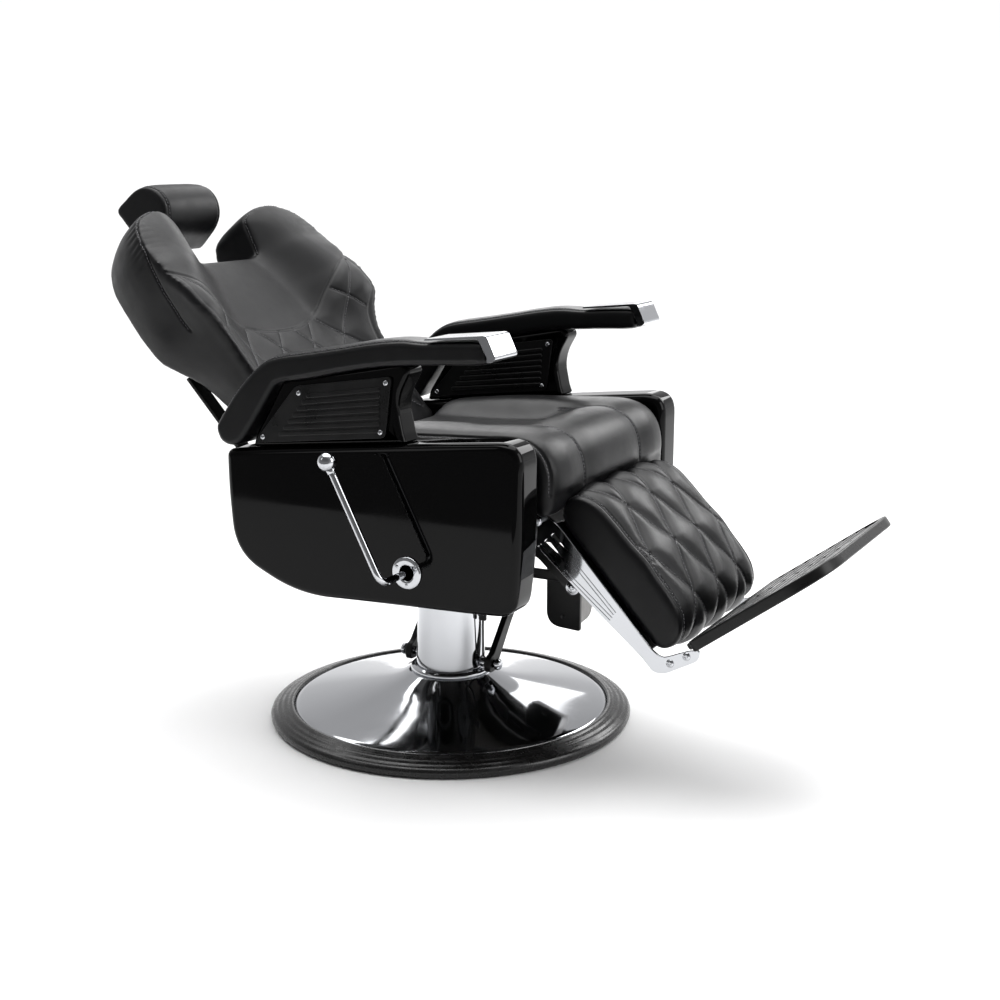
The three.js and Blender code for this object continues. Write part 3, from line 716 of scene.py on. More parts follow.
def shell(name, outline, front, rear, wall, place, material, spacing=14.0, taper=1.0):
    """A closed solid between a front and a rear surface over one outline.

    wall(t, a, b, n) bends the side ring at t from front to rear. taper narrows the rear.
    """
    outline = [tuple(p) for p in outline]
    lo, hi = np.min(outline, axis=0), np.max(outline, axis=0)
    grid = [(a, b) for a in np.arange(lo[0] + 4, hi[0], spacing) for b in np.arange(lo[1] + 4, hi[1], spacing)]
    loop = np.array(outline)
    inside = [p for p in grid if min(np.hypot(*(loop - p).T)) > 0.5 * spacing]
    count = len(outline)
    given = [Vector(p) for p in outline + inside]
    made = delaunay_2d_cdt(given, [], [list(range(count))], 1, 1e-6)
    flat, tris = np.array([tuple(v) for v in made[0]]), made[2]
    on_edge = {}
    for i, sources in enumerate(made[3]):
        for s in sources:
            if s < count:
                on_edge[s] = i
    vertices = [place(a, b, front(a, b)) for a, b in flat]
    base = len(vertices)
    vertices += [place(a * taper, b, rear(a, b)) for a, b in flat]
    faces = [list(t) for t in tris] + [[base + k for k in t][::-1] for t in tris]
    edges = loop[(np.arange(count) + 1) % count] - loop[np.arange(count) - 1]
    normal = np.stack([edges[:, 1], -edges[:, 0]], 1)
    normal /= np.linalg.norm(normal, axis=1)[:, None]
    rows = [[on_edge[k] for k in range(count)]]
    for t in (0.15, 0.35, 0.55, 0.75, 0.9):
        row = []
        for k, (a, b) in enumerate(outline):
            row.append(len(vertices))
            depth = front(a, b) + (rear(a, b) - front(a, b)) * t
            a2, b2 = wall(t, a * (1 + (taper - 1) * t), b, normal[k])
            vertices.append(place(a2, b2, depth))
        rows.append(row)
    rows.append([base + on_edge[k] for k in range(count)])
    for upper, lower in zip(rows, rows[1:]):
        for k in range(count):
            m = (k + 1) % count
            faces.append([upper[k], upper[m], lower[m], lower[k]])
    return mesh_piece(name, vertices, faces, material)


# ------------------------------------------------------------------ camera, light and floor
def add_stage():
    camera = bpy.data.objects.new("camera", bpy.data.cameras.new("camera"))
    scene.collection.objects.link(camera)
    azimuth, pitch = math.radians(-61.71), math.radians(12.67)
    back = Vector((math.sin(azimuth) * math.cos(pitch), -math.cos(azimuth) * math.cos(pitch), math.sin(pitch)))
    camera.location = (-2.435, -1.416, 1.045)
    camera.rotation_mode = "QUATERNION"
    camera.rotation_quaternion = (-back).to_track_quat("-Z", "Y")
    camera.data.lens, camera.data.sensor_width = 56.12, 36.0
    scene.camera = camera
    scene.view_settings.view_transform = "Standard"

    # The floor beyond "near" shows to the camera only, so the side panel mirrors the darker world above it.
    pale = Shader("pale_floor", (0.88, 0.88, 0.88), 0.9)
    pale.use("Base Color", pale.blend(pale.noise(3, 3), (0.87, 0.87, 0.87), (0.9, 0.9, 0.9)))
    near, far = -1.95, 40.0
    for name, low, high in (("floor", near, far), ("floor_unreflected", -far, near)):
        floor_mesh = bpy.data.meshes.new(name)
        corners = [(low, -far, 0), (high, -far, 0), (high, far, 0), (low, far, 0)]
        floor_mesh.from_pydata(corners, [], [(0, 1, 2, 3)])
        floor = bpy.data.objects.new(name, floor_mesh)
        floor.visible_glossy = floor.visible_diffuse = low == near
        floor_mesh.materials.append(pale.material)
        scene.collection.objects.link(floor)

    world = bpy.data.worlds.new("studio")
    scene.world = world
    world.use_nodes = True
    tree = world.node_tree
    background = tree.nodes["Background"]
    place = tree.nodes.new("ShaderNodeTexCoord").outputs["Generated"]
    split = tree.nodes.new("ShaderNodeSeparateXYZ")
    tree.links.new(place, split.inputs[0])
    ramp = tree.nodes.new("ShaderNodeValToRGB")
    tree.links.new(split.outputs["Z"], ramp.inputs["Fac"])
    stops = [(0.0, 1.05), (0.1, 1.0), (0.2, 0.75), (0.5, 0.55), (1.0, 0.6)]
    while len(ramp.color_ramp.elements) < len(stops):
        ramp.color_ramp.elements.new(0.5)
    for element, (at, level) in zip(ramp.color_ramp.elements, stops):
        element.position = at
        element.color = (level, level, level * 1.01, 1)
    side = tree.nodes.new("ShaderNodeMapRange")
    side.interpolation_type = "SMOOTHSTEP"
    for socket, value in (("From Min", -0.7), ("From Max", 0.35), ("To Min", 0.24), ("To Max", 1.0)):
        side.inputs[socket].default_value = value
    tree.links.new(split.outputs["X"], side.inputs["Value"])
    shade = tree.nodes.new("ShaderNodeMix")
    shade.data_type, shade.blend_type = "RGBA", "MULTIPLY"
    shade.inputs[0].default_value = 1.0
    tree.links.new(ramp.outputs["Color"], shade.inputs[6])
    tree.links.new(side.outputs["Result"], shade.inputs[7])
    tree.links.new(shade.outputs[2], background.inputs["Color"])
    background.inputs["Strength"].default_value = 1.0

    for name, place_at, target, size, watts in (
        ("softbox_over", (0.2, 0.1, 2.7), (0, 0, 0.4), (2.6, 2.6), 34),
        ("softbox_key", (2.6, -1.35, 2.25), (0, -0.2, 0.5), (1.7, 1.5), 52),
        ("softbox_front", (0.2, -2.9, 1.7), (0, -0.3, 0.5), (1.4, 1.8), 30),
        ("softbox_far", (2.4, 1.1, 1.8), (0, 0, 0.6), (1.3, 1.8), 14),
        ("softbox_near", (-2.4, 1.9, 2.3), (0, 0.1, 0.6), (0.7, 1.2), 4),
    ):
        light = bpy.data.lights.new(name, "AREA")
        light.shape = "RECTANGLE"
        light.size, light.size_y = size
        light.energy = watts
        lamp = bpy.data.objects.new(name, light)
        lamp.location = place_at
        lamp.visible_camera = False
        lamp.rotation_euler = (Vector(target) - Vector(place_at)).to_track_quat("-Z", "Y").to_euler()
        scene.collection.objects.link(lamp)

    glow = bpy.data.lights.new("ceiling", "SUN")
    glow.energy, glow.angle = 2.75, math.radians(70)
    ceiling = bpy.data.objects.new("ceiling", glow)
    ceiling.rotation_euler = (math.radians(-8), math.radians(12), 0)
    scene.collection.objects.link(ceiling)


# ------------------------------------------------------------------ base, column and pump
def add_base():
    ring = [(296.4, 0), (333, 0), (337, 3), (339.6, 8), (340, 12), (338, 17), (333.5, 20.5), (329, 21.2),
            (327.6, 23.4), (324, 24.4), (319.5, 24.8), (318, 27), (313, 28.2), (308.5, 28.6), (307, 30.4),
            (302, 31.6), (298.5, 31.6), (296.6, 29.5)]
    place_on(revolve("base_ring", ring, RUBBER, about_z, 160, True), "base", "base_rubber_ring")

    dome = [(293, 5.4), (295.8, 5.4), (295.8, 24), (294.6, 27.5), (291, 29.8), (284, 31.5), (262, 36),
            (225, 43.6), (180, 53), (140, 62.5), (110, 71.5), (92, 79.5), (82, 85), (76, 87.6), (69, 87.6),
            (69, 85.5), (76, 84.6), (92, 76), (140, 59), (225, 40), (284, 28.5), (293, 24)]
    place_on(revolve("base_dome", dome, CHROME, about_z, 160, True), "base", "base_chrome_cover")

    collar = [(66.4, 88.1), (75.6, 88.1), (76, 90), (76, 93), (74.5, 95.6), (71, 96.4), (69.6, 97.9),
              (66.4, 97.9)]
    place_on(revolve("column_flange", collar, CHROME, about_z, 128, True), "base", "column_collar")

    column = [(62, 20), (65, 20), (65, 60), (65, 99), (64.4, 112), (63, 160), (60.4, 240), (58.2, 300),
              (57.5, 318), (57.5, 333), (56.7, 335), (54.8, 335), (54.5, 300), (61.4, 112)]
    place_on(revolve("column_sleeve", column, CHROME, about_z, 128, True), "base", "column_shroud")

    for end, facing in (("front", -1), ("rear", 1)):
        stub = [(0, 66.3), (8.6, 66.3), (9, 67), (9, 75.5), (8.4, 76), (7, 76.3), (7, 97.8), (8.2, 98.2),
                (10.6, 98.4), (11, 99), (11, 103.6), (10.4, 104.6), (8.6, 105.4), (8, 106.8), (0, 107)]
        pin = revolve("pump_pin_" + end, stub, CHROME, about("y", (0, 0, 109), facing), 40)
        place_on(pin, "base", "pump_pivot_pin_" + end)

    shank = [(-6.5, -73, z) for z in np.linspace(122, 198, 9)]
    rod = mesh_piece("release_rod_a", *sweep(shank, 2.0, 12), PAINT)
    eye = [(-6.5, -73 + 4.5 * math.cos(t), 119 + 4.5 * math.sin(t)) for t in np.linspace(1.7, 7.7, 22)]
    hook = mesh_piece("release_rod_b", *sweep(eye, 1.5, 10), PAINT)
    tab = fillet([(-80, 192), (-64.8, 192), (-64.8, 206), (-80, 206)], 3, 4)
    tab = prism("release_rod_c", tab, -9, -4, PAINT, along_x, 0.8, 2)
    place_on(join("release_rod", [rod, hook, tab]), "base", "valve_rod")


def add_pedal():
    z = 109
    side = fillet([(-17, z - 4, 8), (-13, z - 15, 8), (8, z - 16, 10), (18, z - 4, 10), (78, z + 72, 20),
                   (149, z + 130, 10), (149, z + 153, 6), (124, z + 153, 10), (62, z + 86, 20), (2, z + 18, 10),
                   (-12, z + 14, 8)], 8, 6)
    parts = []
    for end in (-1, 1):
        arm = prism(f"arm{end}", side, end * 86 - 6, end * 86 + 6, PAINT, along_y, 1.6, 3)
        bore = revolve("bore", [(0, -30), (8, -30), (8, 30), (0, 30)], PAINT, about("y", (0, end * 86, z)), 32)
        parts.append(carve(arm, [bore]))
    low, high = z + 132, z + 152
    for x0, x1, y0, y1 in ((131, 149, -85, 85), (141, 149, -168, -85)):
        section = fillet([(x0, low), (x1, low), (x1, high), (x0, high)], 2.5, 4)
        parts.append(prism("bar", section, y0, y1, PAINT, along_y, 1.0, 2))
    plate = fillet([(-127.4, 286, 6), (-127.4, 150, 30), (-198.6, 146, 5), (-198.6, 286, 6)], 8, 8)
    parts.append(prism("plate", plate, 148, 156, PAINT, along_x, 1.4, 3))
    for y, height in ((-140, 262), (-186, 262), (-163, 170)):
        rivet = revolve("rivet", [(0, -4.2), (5.2, -4.2), (4.8, -2.6), (3.0, -1.6), (0, -1.3)], PAINT,
                        about("x", (152, y, height), 1), 20)
        parts.append(rivet)
    place_on(join("foot_pump_lever", parts), "pedal", "pump_pedal_fork")

    shape = fillet([(156.6, 285, 5), (156.6, 158, 6), (210, 162, 28), (218, 286, 6)], 8, 8)
    # Painted light: the tread's pale grey rubber stands for its front face lit by the front light.
    pad = prism("foot_pump_tread", shape, -196.6, -129.4, PAINTED_LIT_RUBBER, along_y, 5, 4)
    section = [(200, 150), (230, 150), (230, 300), (219.6, 300)]
    grooves = [prism(f"groove{k}", section, y, y + 2.4, PAINTED_LIT_RUBBER, along_y)
               for k, y in enumerate(-187 + 8.2 * np.arange(7))]
    place_on(carve(pad, grooves), "pedal", "pump_pedal_pad")


# ------------------------------------------------------------------ frame pieces kept from the CAD
def add_frame_looks():
    looks = {
        STEEL: ["hydraulic_ram", "backrest_pivot_shaft", "legrest_pivot_pin_right", "legrest_pivot_pin_left",
                "recline_strut_rod", "headrest_bracket"],
        ENAMEL: ["base_floor_plate", "pump_cylinder", "swivel_hub"],
        PAINT: ["frame_crossbar_front", "frame_crossbar_rear", "frame_rail_right", "frame_rail_left",
                "frame_side_plate_right", "frame_side_plate_left", "recline_strut_cylinder",
                "backrest_bracket_right", "backrest_bracket_left", "backrest_torque_tube", "headrest_socket",
                "legrest_board", "recline_link_right", "recline_link_left"],
        CHROME: ["headrest_post"],
        PLYWOOD: ["seat_pan_board"],
    }
    for material, names in looks.items():
        for name in names:
            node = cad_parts[name]
            node.data.materials.clear()
            node.data.materials.append(material)
            drop_custom_normals(node)
            modify(node, "WELD", "weld", merge_threshold=1e-5)
            modify(node, "DECIMATE", "flat_faces", decimate_type="DISSOLVE", angle_limit=math.radians(1))
            soften(node, 0.8, 2, 38)


# ------------------------------------------------------------------ side panels and lever
LEVER_AXIS = (-107, 365)


def add_side_panel(name, side):
    body = [(262, 538, 20), (262, 470, 40), (253, 352, 80), (120, 294, 70), (-10, 300, 60), (-240, 308, 40),
            (-304, 313, 36), (-316, 420, 60), (-316, 600, 44), (-180, 586.5, 40), (100, 556.8, 40),
            (236, 542.2, 20)]
    shape = fillet(body, 20, 10)
    x0, x1 = (255, 325) if side > 0 else (-325, -255)
    panel = rounded_block("side_shell_" + name, shape, x0, x1, GLOSS, along_x, 15)
    if side < 0:
        hole = [(0, -345), (13.4, -345), (13.4, -250), (0, -250)]
        carve(panel, [revolve("hole", hole, GLOSS, about("x", (0, *LEVER_AXIS)), 64)])
    place_on(panel, "seat", "side_panel_" + name)


def pan_head(name, place, radius, height):
    """A chromed pan-head screw with a cross recess, its seat at height 0."""
    dome = [(radius * math.sin(t), height * math.cos(t) ** 0.8) for t in np.linspace(0.02, 1.45, 9)]
    head = revolve(name, [(0, height)] + dome + [(radius, 0), (radius, -0.8), (0, -0.8)], CHROME, place, 32)
    sides = [[0, 1, 2, 3], [4, 5, 6, 7], [0, 1, 5, 4], [1, 2, 6, 5], [2, 3, 7, 6], [3, 0, 4, 7]]
    tools = []
    for k in (0, 1):
        w, d = radius * 0.13, radius * 0.55
        corners = [(-w, -d), (w, -d), (w, d), (-w, d)]
        if k:
            corners = [(b, a) for a, b in corners][::-1]
        vertices = [place(math.hypot(a, b), math.atan2(b, a), h)
                    for h in (height * 0.45, height + 2) for a, b in corners]
        tools.append(mesh_piece(f"recess{k}", vertices, sides, CHROME, False))
    return carve(head, tools)


def add_lever():
    y, z = LEVER_AXIS
    face = -325.3
    flange = [(13.5, 0.1), (27.1, 0.1), (27.5, 0.6), (27.5, 2.2), (26.6, 3.3), (24.4, 3.8), (16.2, 3.8),
              (14.4, 3.5), (13.5, 2.6)]
    parts = [revolve("escutcheon_a", flange, CHROME, about("x", (face, y, z), -1), 96, True)]
    for k, angle in enumerate((0.5, 2.6, 4.7)):
        spot = (face - 3.4, y + 20.5 * math.cos(angle), z + 20.5 * math.sin(angle))
        parts.append(pan_head(f"screw{k}", about("x", spot, -1), 3.4, 1.5))
    place_on(join("lever_flange", parts), "seat", "lever_escutcheon")

    ball_at = np.array([-405, -8, 556.0])
    bend = np.array([-405, y, z], float)
    rise = unit(ball_at - bend)
    path = [np.array([x, y, z], float) for x in np.linspace(-215, -383, 12)]
    start, end = path[-1], bend + rise * 22
    path += [(1 - t) ** 2 * start + 2 * t * (1 - t) * bend + t * t * end for t in np.linspace(0.08, 1, 14)]
    stop = ball_at - rise * 13
    path += [end + (stop - end) * t for t in np.linspace(0.05, 1, 14)]
    rod = mesh_piece("rod", *sweep(path, 6.0, 28), CHROME)
    neck = ball_at - rise * 21
    neck_path = [neck + rise * d for d in (0, 1, 5, 8)]
    collar = mesh_piece("neck", *sweep(neck_path, [6.2, 7.6, 7.6, 8.4], 28), CHROME)
    crank = fillet([(y - 14, z - 14), (y + 14, z - 14), (y + 12, z + 40), (y - 12, z + 40)], 8, 6)
    crank = prism("crank", crank, -226, -218, CHROME, along_x, 1, 2)
    place_on(join("recline_handle", [rod, collar, crank]), "lever", "recline_lever_rod")
    turn = [(16 * math.sin(t), -16 * math.cos(t)) for t in np.linspace(0.45, math.pi - 0.001, 30)]
    axis = Vector(rise.tolist())
    across = axis.orthogonal().normalized()
    side_a, side_b = np.array(across), np.array(axis.cross(across))

    def place(r, t, h):
        return tuple(ball_at + side_a * r * math.cos(t) + side_b * r * math.sin(t) + rise * h)

    ball = revolve("handle_knob", [(6.4, turn[0][1])] + turn, CHROME, place, 48)
    place_on(ball, "lever", "recline_lever_ball")


# ------------------------------------------------------------------ armrests
PAD_SIDE = [(278, 575), (269, 553), (248, 546), (230, 552), (211, 572), (177, 620), (152, 655), (134, 664.5),
            (80, 673.5), (19, 687), (-41, 699), (-99, 706), (-173, 711.5), (-243, 716), (-256.5, 722),
            (-253, 738), (-245, 752), (-145, 747), (-100, 746.5), (-42, 739), (18, 727.5), (79, 716.5),
            (140, 706), (173, 694), (207, 667), (241, 631), (272, 588)]


def add_armrest(name, side):
    at = along_side(side)
    rings = []
    side_line = spline(PAD_SIDE, 7.0, True)
    for x in (255.5, 256.5, 259, 264, 272, 282, 292, 302, 312, 320, 325, 327.5, 328.5):
        pull = 6.0 * rounding(min(1, min(x - 255.5, 328.5 - x) / 9.0))
        crown = 5.0 * (1 - ((x - 292) / 37.0) ** 2)
        ring = []
        for k, (a, b) in enumerate(side_line):
            before, after = side_line[k - 1], side_line[(k + 1) % len(side_line)]
            t = unit(after - before)
            n = np.array([t[1], -t[0]])
            a2, b2 = a + n[0] * pull, b + n[1] * pull
            top = float(smoothstep(0.2, 0.8, -n[1]))
            b2 += crown * top * float(smoothstep(-150, -70, a))
            ring.append(at(a2, b2, x))
        rings.append(ring)
    pad = loft("armrest_cushion_" + name, rings, LEATHER)

    upper = table([(-250, 735), (140, 690), (280, 565)])
    lower = table([(-250, 722), (150, 670), (280, 552)])

    def top_line(x, y0, y1):
        spots = sorted((a, b) for a, b in side_line if y0 <= a <= y1 and b > upper(a))
        return [at(a, b, x) for a, b in spots]

    seams = [Seam(top_line(x, -150, 262), 1.8, 4.5, True, [2.2]) for x in (262, 322)]
    low = [(150, 662), (80, 680), (0, 697), (-99, 712), (-173, 717), (-240, 722)]
    seams.append(Seam([at(a, b, 328) for a, b in low], 1.2, 3.5, False, None))

    def hold(points):
        return np.where((points[:, 1] < -150) | (points[:, 2] < lower(points[:, 1])), 1.0, 0.0)

    upholster(pad, seams, 4.5, None, hold, 3.0, 3.0, 3)
    place_on(pad, "seat", "armrest_pad_" + name)
    sew("seat", "armrest_" + name, seams)

    cap = fillet([(-258.6, 722.4, 1.2), (-266, 722.6, 5), (-275.4, 728, 6), (-258, 764.6, 7), (-147, 753.4, 1.2),
                  (-146, 750.2, 0.6), (-243, 758.6, 5), (-259, 730, 2)], 1.5, 7)
    nose = prism("arm_nose_" + name, cap, 255.4, 328.6, CHROME, at, 1.6, 4)
    place_on(nose, "seat", "armrest_cap_" + name)

    support = [(-101, 578.6, 4), (-95, 592, 14), (-86, 634, 60), (-91, 662, 40), (-111, 697, 10), (-98, 711, 6),
               (-41, 700, 20), (80, 678, 20), (140, 667, 12), (170, 616, 20), (201, 568, 8), (207, 546.2, 6)]
    web = rounded_block("arm_panel_" + name, fillet(support, 9, 8), 266.3, 317.7, GLOSS, at, 9)
    slot = [(-99, 584), (-85, 604), (-79, 636), (-84, 662), (-103, 690), (-112, 697), (-92, 697), (-76, 668),
            (-70, 634), (-76, 600), (-88, 580)]
    groove = prism("groove", fillet(slot, 8, 5), 313.2, 330, GLOSS, at)
    place_on(carve(bake(web), [groove]), "seat", "arm_support_" + name)

    for face, outward in (("outer", 1), ("inner", -1)):
        seat_x = 292 + outward * 26.3
        frame_shape = fillet([(109, 660), (-80, 688), (-66, 586), (200, 555)], 9, 6)
        low_x, high_x = sorted((seat_x, seat_x + outward * 4.6))
        parts = [prism("plate", frame_shape, low_x, high_x, PLASTIC, at, 1.4, 3)]
        rows = 7
        for i in range(rows):
            u = (i + 0.5) / rows
            front = np.array([-64.5 - 3 * (1 - u), 593 + 80 * (1 - u)])
            rear = np.array([94 + 68 * u, 648 - 80 * u])
            run = unit(rear - front)
            front, rear = front + run * 9, rear - run * 12
            half = np.array([-run[1], run[0]]) * 3.7
            ends = [front + half, front - half, rear - half, rear + half]
            bar = fillet([tuple(end) for end in ends], 3.4, 6)
            r0, r1 = sorted((seat_x + outward * 3.6, seat_x + outward * 7.0))
            parts.append(prism(f"rib{i}", bar, r0, r1, PLASTIC, at, 2.2, 4))
        for k, (a, b) in enumerate(((103, 648), (-69, 677), (-57, 595), (180, 567))):
            spot = (side * (seat_x + outward * 4.4), a, b)
            parts.append(pan_head(f"screw{k}", about("x", spot, side * outward), 4.6, 2.6))
        place_on(join(f"arm_louvre_{face}_{name}", parts), "seat", f"arm_insert_{face}_{name}")


# ------------------------------------------------------------------ seat
def add_seat():
    roll = [(-284, 586), (-306, 573), (-321, 552), (-328, 528), (-329, 506), (-323, 494), (-305, 490),
            (-200, 480), (0, 458), (90, 447)]
    middle = [(106, 466), (110, 510), (104, 538), (80, 545), (30, 546), (-20, 547), (-70, 549), (-115, 552),
              (-150, 556), (-178, 564), (-204, 576), (-230, 587), (-258, 591), *roll]
    bolster = [(106, 466), (110, 520), (104, 552), (80, 566), (30, 573), (-20, 579), (-70, 583), (-115, 585.5),
               (-150, 587), (-178, 588.5), (-204, 590), (-230, 591.5), (-258, 591.5), *roll]
    middle, bolster = (resample(spline(p, 4.0, True), 9.0, True) for p in (middle, bolster))
    count = min(len(middle), len(bolster))
    middle, bolster = (resample(p, 9.0 * len(p) / count, True)[:count] for p in (middle, bolster))
    rings = []
    for x in np.r_[-238, -237, -234, -229, -222, np.arange(-212, 213, 10.6), 222, 229, 234, 237, 238]:
        share = float(smoothstep(88, 150, abs(x)))
        ring = middle * (1 - share) + bolster * share
        pull = 22 * rounding(min(1, (238 - abs(x)) / 26))
        centre = np.array([np.clip(ring[:, 0], -285, 60), np.clip(ring[:, 1], 515, 530)]).T
        away = ring - centre
        length = np.maximum(np.linalg.norm(away, axis=1), 1e-6)
        lower = ring[:, 1] < 500
        share_of_pull = np.where(lower, 0.2, 1)[:, None]
        moved = ring - away / length[:, None] * np.minimum(pull, length)[:, None] * share_of_pull
        drop = 15 + 15 * float(smoothstep(150, 200, abs(x)))
        front = (moved[:, 0] < -296) & (moved[:, 1] < 512)
        moved[:, 1] -= np.where(front, drop, 0)
        rings.append(np.column_stack([np.full(len(ring), x), moved]))
    cushion = loft("seat_cushion_cover", rings, LEATHER)

    over = [(-160, 590), (-200, 591), (-230, 593), (-262, 593), (-292, 584), (-312, 568), (-326, 545),
            (-331, 520), (-329, 500)]
    edge = [(60, 560), (-60, 573), (-160, 578), (-262, 583), (-291, 576), (-310, 556), (-318, 530), (-318, 500)]
    seams = [Seam([(x, a, b) for a, b in over], 2.0, 5.0, True, [-2.6, 2.6]) for x in (-116, 116)]
    seams += [Seam([(x, a, b) for a, b in edge], 2.2, 5.5, True, [3.0]) for x in (-227, 227)]

    def puff(points):
        x, y, z = points.T
        rise = np.where(z > 500, 6.0, 0.0) * smoothstep(238, 215, abs(x))
        rise = rise * np.where(y > 90, 0.3, 1)
        return rise, np.full(len(points), 34.0)

    def hold(points):
        x, y, z = points.T
        low = z < np.interp(y, [-330, -300, 90], [500, 496, 462])
        return np.where(low | (abs(x) > 232), 1.0, 0.0)

    upholster(cushion, seams, 5.0, puff, hold, 7.0, 4.0, 5)
    place_on(cushion, "seat", "seat_cushion")
    sew("seat", "seat_cushion", seams)


# ------------------------------------------------------------------ backrest and headrest
LEAN = math.radians(42.5)
PIVOT = np.array([0, 175, 470.0])
UP = np.array([0, math.sin(LEAN), math.cos(LEAN)])
FRONT = np.array([0, -math.cos(LEAN), math.sin(LEAN)])


def on_back(x, u, v):
    """x across, u up along the back from its pivot, v towards the sitter."""
    return tuple(PIVOT + np.array([x, 0, 0]) + u * UP + v * FRONT)


def from_back(points):
    d = points - PIVOT
    return points[:, 0], d @ UP, d @ FRONT


EDGE_V = table([(20, 58), (120, 64), (200, 66), (280, 78), (330, 92), (380, 88), (420, 76), (494, 63), (544, 62),
                (580, 60)])
CENTRE_V = table([(20, 34), (200, 30), (300, 24), (400, 17), (500, 11), (580, 12)])
REAR_V = table([(20, -46), (185, -55), (239, -62), (273, -67), (344, -88), (401, -89), (500, -82), (545, -72),
                (576, -56)])
POST_V = -73.0
YOKE = [(0, 300), (61, 306), (125, 329), (160, 356), (195, 382), (240, 408), (284, 430)]
YOKE_U = table(YOKE)
QUILT_EDGE = table([(60, 206), (200, 208), (280, 223), (330, 264), (420, 268)])


def front_v(x, u):
    low = np.interp(u, [300, 480, 560], [110, 66, 42])
    high = np.interp(u, [300, 400, 480, 560], [268, 245, 192, 175])
    return CENTRE_V(u) + (EDGE_V(u) - CENTRE_V(u)) * smoothstep(low, high, abs(x))


def rear_v(x, u):
    """The rear face, with a channel up the middle that the headrest post slides in."""
    channel = 1 - smoothstep(18, 46, abs(x))
    return REAR_V(u) + channel * np.maximum(POST_V - REAR_V(u), 0)


